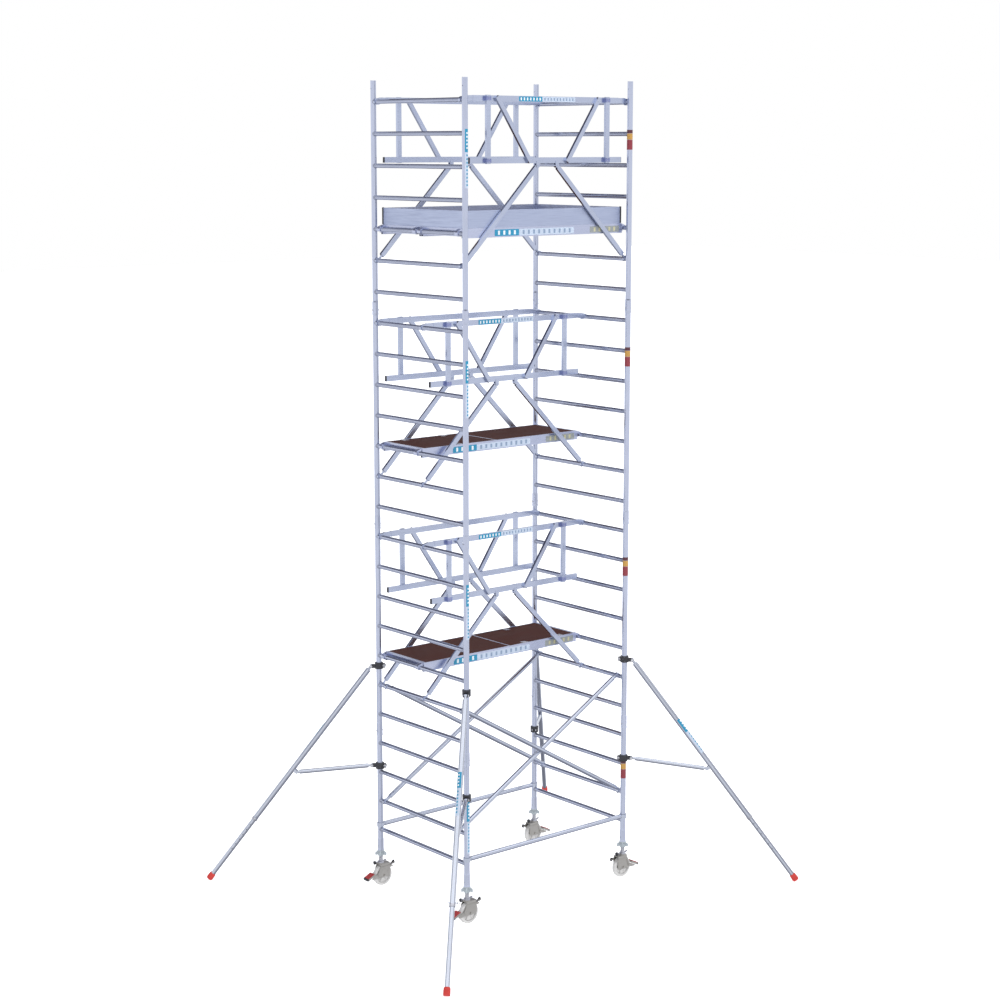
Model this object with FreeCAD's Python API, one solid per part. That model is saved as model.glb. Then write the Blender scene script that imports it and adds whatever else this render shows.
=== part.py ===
import FreeCAD, Part
import math
import os

# Mobile tower scaffold: two stacks of ladder frames on four casters, three working levels,
# guardrail frames, base bracing and four telescopic stabilisers.
# Millimetres. +X runs along the platforms from end frame A to end frame B, +Y runs across
# from the near side to the far side, +Z is up, and the origin is on the floor at the centre.

V = FreeCAD.Vector
UP = V(0, 0, 1)
ALONG = V(1, 0, 0)
ACROSS = V(0, 1, 0)

# ---- driving dimensions -------------------------------------------------------------------
FRAME_SPAN = 1914.0          # between the two end frames, post centre to post centre
FRAME_WIDTH = 1287.0         # across one end frame, post centre to post centre
RUNG_PITCH = 280.0
RUNG_DATUM = 274.0           # rung number k is at RUNG_DATUM + k * RUNG_PITCH
POST_R = 25.4
POST_WALL = 2.0
SOCKET_DEPTH = 112.0         # overlap of two stacked posts
SEAT_GAP = 0.1               # between a spigot's top and the shoulder in the socket above it
LOCK_PIN_UP = 42.0           # lock pin's axis above the socket's mouth
LOCK_PIN_HOLE_R = 4.3
FIRST_RUNG_UP = 207.0        # from a post's lower end to its first rung
POST_ABOVE_RUNG = 185.0      # from the last rung to the top of the post
RUNG_R = 20.0
RUNG_WALL = 2.0
RUNG_RIBS = 12
FIT_GAP = 0.3                # clearance between pieces that move or are slid together
FRAMES = (("base", 1, 4), ("lower", 5, 11), ("middle", 12, 18), ("upper", 19, 25))

DECK_RUNGS = {"lower": 7, "middle": 14, "top": 21}
DECK_RISE = 40.0             # walking surface above the rung centre
DECK_WIDTH = 579.0
DECK_MID_GAP = 8.0           # between the two top decks
DECK_HALF_LENGTH = 928.0
BEAM_H = 84.0
BEAM_W = 25.0
LIP_W = 8.0
BOARD_T = 12.0
END_BEAM_W = 31.0
RIB_W = 40.0
RIB_WALL = 2.5
TRAP_LINE_W = 14.0
TRAP_ANGLE_GAP = 4.3

TOE_H = 150.0
TOE_T = 7.5
TOE_WALL = 1.5

RAIL_H = 50.0
GUARD_DEPTH = 25.0
GUARD_WALL = 2.0
RAIL_ABOVE_RUNG = 14.0
MID_RAIL_DROP = 523.0
RAIL_HALF = 842.0
MID_RAIL_HALF = 878.0
UPRIGHT_X = 690.0
UPRIGHT_W = 45.0
VEE_TOP_X = 590.0
VEE_LOW_X = 215.0
VEE_W = 40.0
LEG_W = 42.0
HUB_X = 112.0
HUB_DROP = 47.0
HUB_R = 19.0
EAR_T = 3.0
CLAW_NECK = 62.0             # from a rung to the end of a guardrail leg
OUTER_GUARD_Y = 600.0        # rail layer of a guardrail at the edge of the tower
INNER_GUARD_Y = -45.0        # rail layer of a guardrail beside a single deck

BRACE_R = 21.0
BRACE_WALL = 2.0
DIAGONALS = ((-590.0, 6, 2), (-545.0, 2, 6), (562.0, 2, 6), (517.0, 6, 2))   # Y, rung at A, rung at B
BRACE_LIFT = 13.0            # brace axis above the rung centre
BASE_BRACE_Z = 597.0
CLAW_R = 29.0
CLAW_W = 22.0

WHEEL_R = 100.0
WHEEL_HALF_W = 23.0
TRAIL = 15.0
CROWN_BOTTOM = 192.0
CROWN_TOP = 214.0
SPINDLE_R = 19.0
SPINDLE_TOP = 740.0
THREAD_PITCH = 12.0
THREAD_DEPTH = 1.8
NUT_TOP = 346.7
NUT_H = 56.7
BRAKE_PIVOT = (-52.0, 112.0)
KNOB_Z = 232.5               # lock knob's axis on the spindle flange
KNOB_SCREW_R = 6.0
KING_PIN_R = 7.9
FLANGE_LOW = 222.0
THREAD_TOP = 620.0
SPINDLE_BORE_R = 15.0
NUT_WINGS = 4
AXLE_R = 6.0
BRAKE_PIVOT_R = 5.0
CHEEK_INNER = 31.0
CHEEK_OUTER = 35.0
BAR_INNER = 35.4
BAR_OUTER = 38.6
LEVER_ROD = (105.0, 176.0)

CLAMP_UPPER_Z = 2134.0
CLAMP_LOWER_Z = 1171.0
CLAMP_H = 58.0
CLAMP_R = 39.0
STAB_TOP = (74.0, 2126.0)    # upper pivot: radial distance from the post, height
STAB_END = (1651.0, 12.0)
STAB_JOINT_R = 1205.0        # where the outer tube ends
STAB_INNER_FROM_R = 850.0    # where the inner tube starts inside the outer one
STAB_R = 25.0
STAB_WALL = 2.5
ARM_END = (790.0, 1085.0)
ARM_R = 20.0
ARM_WALL = 2.0
PIVOT_R = 74.0               # radial distance of both clamps' pivots from the post
PIVOT_BOLT_R = 6.0
KNUCKLE_R = 15.0
EAR_INNER = 13.0
EAR_OUTER = 21.0
TOP_NECK = 46.0              # from the upper pivot to the start of the tube
LEG_PIN_R = 4.5
LEG_HOLES = 6
LEG_HOLE_PITCH = 60.0
FOOT_R = 30.0
FOOT_LENGTH = 58.0

HALF_SPAN = FRAME_SPAN / 2
HALF_WIDTH = FRAME_WIDTH / 2
CORNERS = {
    "a_near": (-1, -1),
    "a_far": (-1, 1),
    "b_near": (1, -1),
    "b_far": (1, 1),
}


# ---- small builders -----------------------------------------------------------------------
def rung_z(number):
    return RUNG_DATUM + number * RUNG_PITCH


def box(x0, x1, y0, y1, z0, z1):
    corner = V(min(x0, x1), min(y0, y1), min(z0, z1))
    return Part.makeBox(abs(x1 - x0), abs(y1 - y0), abs(z1 - z0), corner)


def hollow_beam(x0, x1, y0, y1, z0, z1, wall, along_x=False):
    """Open-ended rectangular tube along Y, or along X."""
    outer = box(x0, x1, y0, y1, z0, z1)
    low_x, high_x = sorted((x0, x1))
    low_y, high_y = sorted((y0, y1))
    if along_x:
        inner = box(low_x, high_x, low_y + wall, high_y - wall, z0 + wall, z1 - wall)
    else:
        inner = box(low_x + wall, high_x - wall, low_y, high_y, z0 + wall, z1 - wall)
    return outer.cut(inner)


def rod(radius, start, end):
    direction = end - start
    return Part.makeCylinder(radius, direction.Length, start, direction)


def pipe(radius, wall, start, end):
    return rod(radius, start, end).cut(rod(radius - wall, start, end))


def turned(profile):
    """Solid of revolution about Z from a list of (radius, height) points."""
    points = [V(r, 0, z) for r, z in profile]
    face = Part.Face(Part.makePolygon(points + points[:1]))
    return face.revolve(V(0, 0, 0), UP, 360)


def plate_xz(outline, y0, y1):
    """Flat plate from an outline of (x, z) points, between two Y planes."""
    points = [V(x, y0, z) for x, z in outline]
    face = Part.Face(Part.makePolygon(points + points[:1]))
    return face.extrude(V(0, y1 - y0, 0))


def moved(shape, x=0.0, y=0.0, z=0.0):
    copy = shape.copy()
    copy.translate(V(x, y, z))
    return copy


def spun(shape, degrees, centre=V(0, 0, 0), axis=UP):
    copy = shape.copy()
    copy.rotate(centre, axis, degrees)
    return copy


def mirrored_x(shape):
    return shape.mirror(V(0, 0, 0), ALONG)


def bar_xz(start, end, width, depth, y_mid, wall=0.0):
    """Rectangular bar or tube between two (x, z) points, its depth along Y."""
    dx = end[0] - start[0]
    dz = end[1] - start[1]
    length = math.hypot(dx, dz)
    bar = box(0, length, -depth / 2, depth / 2, -width / 2, width / 2)
    if wall:
        hollow = box(0, length, wall - depth / 2, depth / 2 - wall, wall - width / 2, width / 2 - wall)
        bar = bar.cut(hollow)
    bar = spun(bar, -math.degrees(math.atan2(dz, dx)), axis=ACROSS)
    return moved(bar, start[0], y_mid, start[1])


def export(name, solids):
    shape = solids[0] if len(solids) == 1 else Part.makeCompound(solids)
    for solid in solids:
        if not solid.isValid() or solid.Volume <= 0:
            print("bad solid in", name)
    shape.exportStep(os.path.join("parts", name + ".step"))
    print(name, len(solids), "solids")


# ---- ladder frames ------------------------------------------------------------------------
def post(low, high):
    """Post with a belled socket at its foot and a plain spigot on top."""
    bore = POST_R - POST_WALL
    top_r = POST_R - 0.2
    socket_r = POST_R + FIT_GAP
    step = low + SOCKET_DEPTH
    profile = [
        (socket_r + 2.4, low),
        (POST_R + 5.0, low),
        (POST_R + 2.8, low + 18),
        (POST_R + 2.6, step),
        (POST_R, step + 14),
        (POST_R, high - SOCKET_DEPTH - 4),
        (top_r, high - SOCKET_DEPTH - 3),
        (top_r, high - 1.5),
        (top_r - 1.0, high),
        (bore, high),
        (bore, step + SEAT_GAP),
        (socket_r, step + SEAT_GAP),
        (socket_r, low + 16),
    ]
    return turned(profile)


def ribbed_rung():
    """Anti-slip rung along Y: a tube with fine grooves, coped to both posts."""
    sector = 2 * math.pi / RUNG_RIBS
    groove = 0.075
    edges = []
    for index in range(RUNG_RIBS):
        start = index * sector + groove
        stop = (index + 1) * sector - groove
        middle = (start + stop) / 2
        arc = [V(RUNG_R * math.cos(a), 0, RUNG_R * math.sin(a)) for a in (start, middle, stop)]
        floor_angle = (index + 1) * sector
        floor_r = RUNG_R - 1.1
        bottom = V(floor_r * math.cos(floor_angle), 0, floor_r * math.sin(floor_angle))
        next_start = floor_angle + groove
        far_edge = V(RUNG_R * math.cos(next_start), 0, RUNG_R * math.sin(next_start))
        edges.append(Part.Arc(*arc).toShape())
        edges.append(Part.makeLine(arc[2], bottom))
        edges.append(Part.makeLine(bottom, far_edge))
    face = Part.Face(Part.Wire(Part.__sortEdges__(edges)))
    face.translate(V(0, -HALF_WIDTH, 0))
    rung = face.extrude(V(0, FRAME_WIDTH, 0))
    bore = rod(RUNG_R - RUNG_WALL, V(0, -HALF_WIDTH, 0), V(0, HALF_WIDTH, 0))
    rung = rung.cut(bore)
    for side in (-1, 1):
        foot = V(0, side * HALF_WIDTH, -60)
        rung = rung.cut(rod(POST_R, foot, foot + V(0, 0, 120)))
    return rung


def make_frames():
    rung = ribbed_rung()
    for end_name, end in (("a", -1), ("b", 1)):
        for level, first, last in FRAMES:
            low = rung_z(first) - FIRST_RUNG_UP
            high = rung_z(last) + POST_ABOVE_RUNG
            upright = post(low, high)
            joints = (low + LOCK_PIN_UP, high - SOCKET_DEPTH + LOCK_PIN_UP)
            solids = []
            for side in (-1, 1):
                piece = moved(upright, end * HALF_SPAN, side * HALF_WIDTH)
                for joint_z in joints:
                    centre = V(end * HALF_SPAN, side * HALF_WIDTH, joint_z)
                    piece = piece.cut(rod(LOCK_PIN_HOLE_R, centre - ALONG * 40, centre + ALONG * 40))
                solids.append(piece)
            for number in range(first, last + 1):
                solids.append(moved(rung, end * HALF_SPAN, 0, rung_z(number)))
            export("frame_%s_%s" % (end_name, level), solids)


def lock_pin():
    """Pin along X through a post joint, with a spring wire that wraps the socket."""
    shank = rod(4.0, V(-32, 0, 0), V(33, 0, 0))
    head = rod(6.0, V(31, 0, 0), V(35, 0, 0))
    wire_r = 2.0
    loop = Part.makeTorus(32.0, wire_r, V(0, 0, 0), UP, 0, 360, 200)
    loop = spun(loop, -5)
    return shank.fuse([head, loop]).removeSplitter()


def make_lock_pins():
    pin = lock_pin()
    pins = []
    for _level, _first, number in FRAMES[:-1]:
        joint_z = rung_z(number) + POST_ABOVE_RUNG - SOCKET_DEPTH + LOCK_PIN_UP
        for end, side in CORNERS.values():
            pins.append(moved(pin, end * HALF_SPAN, side * HALF_WIDTH, joint_z))
    export("frame_lock_pins", pins)


# ---- claws that grip a rung ---------------------------------------------------------------
def rung_claw(angle, neck, plug_r, collar_r, lift=0.0):
    """Hook over a rung at the origin, with a neck that leaves it at an angle in the XZ plane."""
    ring = rod(CLAW_R, V(0, -CLAW_W / 2, 0), V(0, CLAW_W / 2, 0))
    away = V(math.cos(math.radians(angle)), 0, math.sin(math.radians(angle)))
    axis_foot = V(0, 0, lift)
    collar = rod(collar_r, axis_foot + away * (neck - 8), axis_foot + away * neck)
    plug = rod(plug_r, axis_foot + away * 8, axis_foot + away * (neck + 40))
    claw = ring.fuse([collar, plug])
    seat_r = RUNG_R + FIT_GAP
    claw = claw.cut(rod(seat_r, V(0, -60, 0), V(0, 60, 0)))
    mouth = box(-seat_r, seat_r, -60, 60, -60, 0)
    return claw.cut(mouth)


def rail_claw():
    """Flat tapered hook at the end of a guardrail's top rail, for the +X end."""
    seat_r = RUNG_R + FIT_GAP
    back = RAIL_HALF - HALF_SPAN
    rail_top = RAIL_ABOVE_RUNG + RAIL_H / 2 - 2
    rail_low = RAIL_ABOVE_RUNG - RAIL_H / 2 + 2
    points = [V(back, 0, rail_low), V(back, 0, rail_top), V(-44, 0, rail_top), V(0, 0, 28)]
    edges = [Part.makeLine(points[i], points[i + 1]) for i in range(3)]
    edges.append(Part.Arc(V(0, 0, 28), V(19.8, 0, 19.8), V(28, 0, 0)).toShape())
    tail = [V(28, 0, 0), V(27, 0, -14), V(21.5, 0, -14), V(seat_r, 0, 0)]
    edges += [Part.makeLine(tail[i], tail[i + 1]) for i in range(3)]
    edges.append(Part.Arc(V(seat_r, 0, 0), V(0, 0, seat_r), V(-seat_r, 0, 0)).toShape())
    throat = [V(-seat_r, 0, 0), V(-seat_r, 0, rail_low), points[0]]
    edges += [Part.makeLine(throat[i], throat[i + 1]) for i in range(2)]
    face = Part.Face(Part.Wire(Part.__sortEdges__(edges)))
    face.translate(V(0, -CLAW_W / 2, 0))
    hook = face.extrude(V(0, CLAW_W, 0))
    pawl_top = [(-46, rail_low), (-22, rail_low), (-19, -19), (6, -22)]
    pawl_low = [(6, -27), (-26, -26), (-46, -18)]
    return [hook, plate_xz(pawl_top + pawl_low, -5, 5)]


# ---- guardrail frames ---------------------------------------------------------------------
def guardrail(rail_rung, y_rail, outward):
    """One guardrail frame: rails and legs in one layer, uprights and diagonals outside it."""
    rail_z = rung_z(rail_rung) + RAIL_ABOVE_RUNG
    mid_z = rail_z - MID_RAIL_DROP
    hub_z = mid_z - HUB_DROP
    foot_z = rung_z(rail_rung - 5)
    y_outer = y_rail + outward * GUARD_DEPTH
    solids = [
        bar_xz((-RAIL_HALF, rail_z), (RAIL_HALF, rail_z), RAIL_H, GUARD_DEPTH, y_rail, GUARD_WALL),
        bar_xz((-MID_RAIL_HALF, mid_z), (MID_RAIL_HALF, mid_z), RAIL_H, GUARD_DEPTH, y_rail, GUARD_WALL),
    ]
    for side in (-1, 1):
        for piece in rail_claw():
            hook = moved(piece, HALF_SPAN, y_rail, rail_z - RAIL_ABOVE_RUNG)
            solids.append(hook if side > 0 else mirrored_x(hook))
        low = (side * UPRIGHT_X, mid_z - RAIL_H / 2)
        high = (side * UPRIGHT_X, rail_z + RAIL_H / 2)
        solids.append(bar_xz(low, high, UPRIGHT_W, GUARD_DEPTH, y_outer, GUARD_WALL))
        low = (side * VEE_LOW_X, mid_z - RAIL_H / 4)
        high = (side * VEE_TOP_X, rail_z + RAIL_H / 4)
        solids.append(bar_xz(low, high, VEE_W, GUARD_DEPTH, y_outer, GUARD_WALL))
        solids += guardrail_leg(side, y_rail, hub_z, foot_z, mid_z)
    return solids


def guardrail_leg(side, y_rail, hub_z, foot_z, mid_z):
    """Folding leg from its bolted hub under the mid rail down to a claw on a rung."""
    angle = math.atan2(hub_z - foot_z, side * (HUB_X - HALF_SPAN))
    direction = V(math.cos(angle), 0, math.sin(angle))
    hub = V(side * HUB_X, y_rail, hub_z)
    foot = V(side * HALF_SPAN, y_rail, foot_z)
    claw = rung_claw(math.degrees(angle), CLAW_NECK, 9.5, 12.4)
    start = foot + direction * CLAW_NECK
    stop = hub - direction * HUB_R
    leg = bar_xz((start.x, start.z), (stop.x, stop.z), LEG_W, GUARD_DEPTH, y_rail, GUARD_WALL)
    bolted = [rod(HUB_R, hub - ACROSS * 12, hub + ACROSS * 12)]
    for face in (-1, 1):
        inner = y_rail + face * (GUARD_DEPTH / 2 + 0.2)
        outer = inner + face * EAR_T
        ear = box(hub.x - HUB_R, hub.x + HUB_R, inner, outer, hub_z, mid_z - RAIL_H / 2 + 18)
        disc = rod(HUB_R, V(hub.x, inner, hub_z), V(hub.x, outer, hub_z))
        bolted.append(ear.fuse(disc).removeSplitter())
    bolt = rod(5.0, hub - ACROSS * 19.7, hub + ACROSS * 19.7)
    return [moved(claw, foot.x, y_rail, foot_z), leg] + [piece.cut(bolt) for piece in bolted] + [bolt]


def make_guardrails():
    for level, rail_rung in (("lower", 11), ("middle", 18)):
        export("guardrail_%s_inner" % level, guardrail(rail_rung, INNER_GUARD_Y, -1))
        export("guardrail_%s_outer" % level, guardrail(rail_rung, OUTER_GUARD_Y, 1))
    export("guardrail_top_near", guardrail(25, -OUTER_GUARD_Y, -1))
    export("guardrail_top_far", guardrail(25, OUTER_GUARD_Y, 1))


# ---- base bracing -------------------------------------------------------------------------
def diagonal_brace(y_mid, a_rung, b_rung):
    low = V(-HALF_SPAN, y_mid, rung_z(a_rung) + BRACE_LIFT)
    high = V(HALF_SPAN, y_mid, rung_z(b_rung) + BRACE_LIFT)
    run = high - low
    run.normalize()
    angle = math.degrees(math.atan2(run.z, run.x))
    tube = pipe(BRACE_R, BRACE_WALL, low + run * 70, high - run * 70)
    claws = []
    for rung, end, away in ((a_rung, -1, angle), (b_rung, 1, angle + 180)):
        claw = rung_claw(away, 70, 15.0, BRACE_R, BRACE_LIFT)
        claws.append(moved(claw, end * HALF_SPAN, y_mid, rung_z(rung)))
    return [tube] + claws


def base_brace(side):
    """Level brace between two posts, with a grip round each post."""
    y = side * HALF_WIDTH
    inset = ALONG * 44
    a_end = V(-HALF_SPAN, y, BASE_BRACE_Z)
    b_end = V(HALF_SPAN, y, BASE_BRACE_Z)
    solids = [pipe(BRACE_R, BRACE_WALL, a_end + inset, b_end - inset)]
    for centre, inward in ((a_end, ALONG), (b_end, -ALONG)):
        ring = rod(33.0, centre - UP * 20, centre + UP * 20)
        plug = rod(BRACE_R - BRACE_WALL - 0.5, centre, centre + inward * 90)
        hole = rod(POST_R + FIT_GAP, centre - UP * 30, centre + UP * 30)
        solids.append(ring.fuse(plug).cut(hole))
    return solids


def make_braces():
    solids = []
    for y_mid, a_rung, b_rung in DIAGONALS:
        solids += diagonal_brace(y_mid, a_rung, b_rung)
    for side in (-1, 1):
        solids += base_brace(side)
    export("braces", solids)


# ---- decks --------------------------------------------------------------------------------
def deck_parts(y0, level_rung, trap_end, trap_x):
    """Frame solids, fixed boards and the space of the trapdoor for one deck from Y = y0."""
    top = rung_z(level_rung) + DECK_RISE
    low = top - BEAM_H
    board_low = top - 2 - BOARD_T
    y1 = y0 + DECK_WIDTH
    frame = []
    for outer, sign in ((y0, 1), (y1, -1)):
        beam = box(-DECK_HALF_LENGTH, DECK_HALF_LENGTH, outer, outer + sign * BEAM_W, low, board_low)
        lip = box(-DECK_HALF_LENGTH, DECK_HALF_LENGTH, outer, outer + sign * LIP_W, board_low, top)
        wall0 = outer + sign * RIB_WALL
        wall1 = outer + sign * (BEAM_W - RIB_WALL)
        hollow = box(-DECK_HALF_LENGTH, DECK_HALF_LENGTH, wall0, wall1, low + 3, board_low - 3)
        frame.append(beam.fuse(lip).removeSplitter().cut(hollow))
    inner0 = y0 + BEAM_W
    inner1 = y1 - BEAM_W
    for end in (-1, 1):
        outer_x = end * DECK_HALF_LENGTH
        inner_x = end * (DECK_HALF_LENGTH - END_BEAM_W)
        frame.append(hollow_beam(outer_x, inner_x, inner0, inner1, low + 16, board_low, RIB_WALL))
        frame.append(box(outer_x, inner_x, y0 + LIP_W, y1 - LIP_W, board_low, top))
        for y_hook in (y0 + 30, y1 - 30):
            frame += deck_hook(end, y_hook, rung_z(level_rung), top)
    if trap_end:
        line0 = trap_x - TRAP_LINE_W / 2
        line1 = trap_x + TRAP_LINE_W / 2
        frame.append(box(line0, line1, y0 + LIP_W, y1 - LIP_W, board_low, top - 1))
        frame.append(cross_rib(trap_x, inner0, inner1, board_low, 34))
    board_end = DECK_HALF_LENGTH - END_BEAM_W
    if trap_end:
        near_edge = trap_x - trap_end * TRAP_LINE_W / 2
        span = (-trap_end * board_end, near_edge)
    else:
        span = (-board_end, board_end)
    boards = [box(span[0], span[1], y0 + LIP_W, y1 - LIP_W, board_low, top - 2)]
    rib_count = 3 if trap_end else 6
    for index in range(rib_count):
        x = span[0] + (span[1] - span[0]) * (index + 0.5) / rib_count
        frame.append(cross_rib(x, inner0, inner1, board_low, 30))
    return frame, boards


def cross_rib(x, y0, y1, top, height):
    """Hollow rib across a deck, under its boards."""
    return hollow_beam(x - RIB_W / 2, x + RIB_W / 2, y0, y1, top - height, top, RIB_WALL)


def deck_hook(end, y_mid, rung_height, top):
    """Cast hook that hangs a deck corner on a rung, with a wind latch below it."""
    seat_r = RUNG_R + FIT_GAP
    start = DECK_HALF_LENGTH - HALF_SPAN
    rise = top - rung_height
    points = [V(start, 0, -14), V(start, 0, rise - 4), V(-12, 0, rise - 4), V(8, 0, 28)]
    edges = [Part.makeLine(points[i], points[i + 1]) for i in range(3)]
    edges.append(Part.Arc(V(8, 0, 28), V(23, 0, 17), V(29, 0, 0)).toShape())
    tail = [V(29, 0, 0), V(27, 0, -16), V(21.5, 0, -16), V(seat_r, 0, 0)]
    edges += [Part.makeLine(tail[i], tail[i + 1]) for i in range(3)]
    edges.append(Part.Arc(V(seat_r, 0, 0), V(0, 0, seat_r), V(-seat_r, 0, 0)).toShape())
    throat = [V(-seat_r, 0, 0), V(-seat_r, 0, -14), points[0]]
    edges += [Part.makeLine(throat[i], throat[i + 1]) for i in range(2)]
    face = Part.Face(Part.Wire(Part.__sortEdges__(edges)))
    face.translate(V(0, -22, 0))
    hook = face.extrude(V(0, 44, 0))
    latch_top = [(start, -14), (-20, -14), (-18, -20), (10, -23)]
    latch_low = [(10, -28), (-22, -27), (start, -20)]
    pieces = []
    for piece in (hook, plate_xz(latch_top + latch_low, -4, 4)):
        placed = moved(piece, HALF_SPAN, y_mid, rung_height)
        pieces.append(placed if end > 0 else mirrored_x(placed))
    return pieces


def trapdoor(y0, level_rung, trap_end, trap_x, hinge_near):
    """Trapdoor board that fills one half of a deck; its hinge line runs along X."""
    top = rung_z(level_rung) + DECK_RISE - 2
    gap = 1.5
    x_inner = trap_x + trap_end * (TRAP_LINE_W / 2 + gap)
    x_outer = trap_end * (DECK_HALF_LENGTH - END_BEAM_W - gap)
    hinge_gap = LIP_W + TRAP_ANGLE_GAP
    free_gap = LIP_W + 6.5
    low_y = y0 + (hinge_gap if hinge_near else free_gap)
    high_y = y0 + DECK_WIDTH - (free_gap if hinge_near else hinge_gap)
    return box(x_inner, x_outer, low_y, high_y, top - BOARD_T, top)


def make_decks():
    far_y0 = DECK_MID_GAP / 2
    near_y0 = -DECK_MID_GAP / 2 - DECK_WIDTH
    plans = (
        ("lower", "deck_frame_lower", ((far_y0, 1, 100.0),)),
        ("middle", "deck_frame_middle", ((far_y0, -1, -60.0),)),
        ("top", "deck_frames_top", ((far_y0, 1, 100.0), (near_y0, 0, 0.0))),
    )
    boards = []
    for level, node, decks in plans:
        frames = []
        for y0, trap_end, trap_x in decks:
            frame, fixed = deck_parts(y0, DECK_RUNGS[level], trap_end, trap_x)
            frames += frame
            boards += fixed
        export(node, frames)
    export("deck_boards", boards)
    export("trapdoor_lower", [trapdoor(far_y0, DECK_RUNGS["lower"], 1, 100.0, True)])
    export("trapdoor_middle", [trapdoor(far_y0, DECK_RUNGS["middle"], -1, -60.0, False)])
    export("trapdoor_top", [trapdoor(far_y0, DECK_RUNGS["top"], 1, 100.0, True)])


def make_toe_boards():
    low = rung_z(DECK_RUNGS["top"]) + DECK_RISE
    edge = DECK_MID_GAP / 2 + DECK_WIDTH
    end_x = DECK_HALF_LENGTH - END_BEAM_W + 15
    high = low + TOE_H
    inner = edge - TOE_T
    solids = []
    for side in (-1, 1):
        solids.append(hollow_beam(-end_x, end_x, side * edge, side * inner, low, high, TOE_WALL, True))
        solids.append(hollow_beam(side * end_x, side * (end_x - TOE_T), -inner, inner, low, high, TOE_WALL))
    export("toe_boards", solids)


# ---- casters ------------------------------------------------------------------------------
def spindle():
    """Hollow threaded leg with a swivel flange and king pin below and a guide collar on top."""
    collar_r = SPINDLE_R + 2
    root_r = SPINDLE_R - THREAD_DEPTH
    guide_r = POST_R - POST_WALL - FIT_GAP
    profile = [(0, 203), (13, 203), (13, 208), (KING_PIN_R, 208), (KING_PIN_R, FLANGE_LOW)]
    profile += [(30, FLANGE_LOW), (30, FLANGE_LOW + 14), (collar_r, FLANGE_LOW + 18)]
    height = FLANGE_LOW + 24
    profile.append((collar_r, height))
    while height < THREAD_TOP:
        profile += [(SPINDLE_R, height + 1.5), (SPINDLE_R, height + 5.5)]
        profile += [(root_r, height + 7.5), (root_r, height + THREAD_PITCH - 0.5)]
        height += THREAD_PITCH
    profile += [(SPINDLE_R, height + 2), (SPINDLE_R, SPINDLE_TOP - 30), (guide_r, SPINDLE_TOP - 28)]
    profile += [(guide_r, SPINDLE_TOP), (SPINDLE_BORE_R, SPINDLE_TOP), (SPINDLE_BORE_R, 260), (0, 260)]
    tab = plate_xz([(29, 226), (29, 235), (56, 244), (62, 240), (58, 234)], -6, 6)
    screw, knob = lock_knob()
    seat = rod(KNOB_SCREW_R, V(-22, 0, KNOB_Z), V(-60, 0, KNOB_Z))
    return [turned(profile).cut(seat).cut(tab), screw, knob, tab]


def lock_knob():
    """Screw in the flange's side and the mushroom knob on it."""
    screw = rod(KNOB_SCREW_R, V(-22, 0, KNOB_Z), V(-58, 0, KNOB_Z))
    profile = [(KNOB_SCREW_R, 0), (8.5, 0), (10, 10), (17, 16), (17.5, 23), (14, 26), (0, 27)]
    profile += [(0, 6), (KNOB_SCREW_R, 6)]
    knob = spun(turned(profile), -90, axis=ACROSS)
    return screw, moved(knob, -52, 0, KNOB_Z)


def adjust_nut():
    low = NUT_TOP - NUT_H
    profile = [(SPINDLE_R + FIT_GAP, low), (25, low), (27, low + 4), (28.5, low + 38), (32, low + 44)]
    profile += [(32, NUT_TOP), (SPINDLE_R + FIT_GAP, NUT_TOP)]
    body = turned(profile)
    outline = [(20, low + 10), (50, low + 4), (54, low + 10), (52, low + 30)]
    outline += [(30, low + 46), (20, low + 46)]
    wing = plate_xz(outline, -6, 6).cut(rod(23.0, V(0, 0, low - 5), V(0, 0, NUT_TOP + 5)))
    for index in range(NUT_WINGS):
        body = body.fuse(spun(wing, 45 + 360 / NUT_WINGS * index))
    return [body.removeSplitter()]


def crown():
    """Bent channel over the wheel, with the swivel race on top."""
    channel = box(-34, 84, -CHEEK_OUTER, CHEEK_OUTER, CROWN_BOTTOM, CROWN_TOP)
    channel = channel.cut(box(-40, 90, -CHEEK_INNER, CHEEK_INNER, CROWN_BOTTOM - 1, CROWN_TOP - 5.5))
    corners = []
    for edge in channel.Edges:
        upright = abs(edge.tangentAt(edge.FirstParameter).z) > 0.99
        if upright and abs(edge.Vertexes[0].Point.y) > CHEEK_OUTER - 0.1:
            corners.append(edge)
    channel = channel.makeFillet(9.0, corners)
    race = rod(33.0, V(0, 0, CROWN_TOP), V(0, 0, FLANGE_LOW - 0.5))
    return channel.fuse(race).cut(rod(KING_PIN_R + FIT_GAP, V(0, 0, 200), V(0, 0, 225)))


def fork():
    """Pressed fork: crown, two cheeks, axle bolt and brake pivots."""
    outline = [(-30, CROWN_BOTTOM), (-70, 102), (-62, 88), (-48, 84), (70, 84), (82, 92)]
    outline += [(86, 108), (84, CROWN_BOTTOM)]
    axle = rod(AXLE_R, V(TRAIL, -43, WHEEL_R), V(TRAIL, 43, WHEEL_R))
    px, pz = BRAKE_PIVOT
    solids = [crown()]
    for side in (-1, 1):
        cheek = plate_xz(outline, side * CHEEK_INNER, side * CHEEK_OUTER)
        pivot = rod(BRAKE_PIVOT_R, V(px, side * CHEEK_INNER, pz), V(px, side * 39.5, pz))
        cap = rod(8.0, V(px, side * 39.5, pz), V(px, side * 41.5, pz))
        solids.append(cheek.cut(axle).cut(pivot))
        solids.append(pivot.fuse(cap))
        head = spun(hexagon(10.5, 7.0), 90, axis=ALONG)
        axle = axle.fuse(moved(head, TRAIL, side * 38.5 + 3.5, WHEEL_R))
    solids.append(axle)
    return solids


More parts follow.
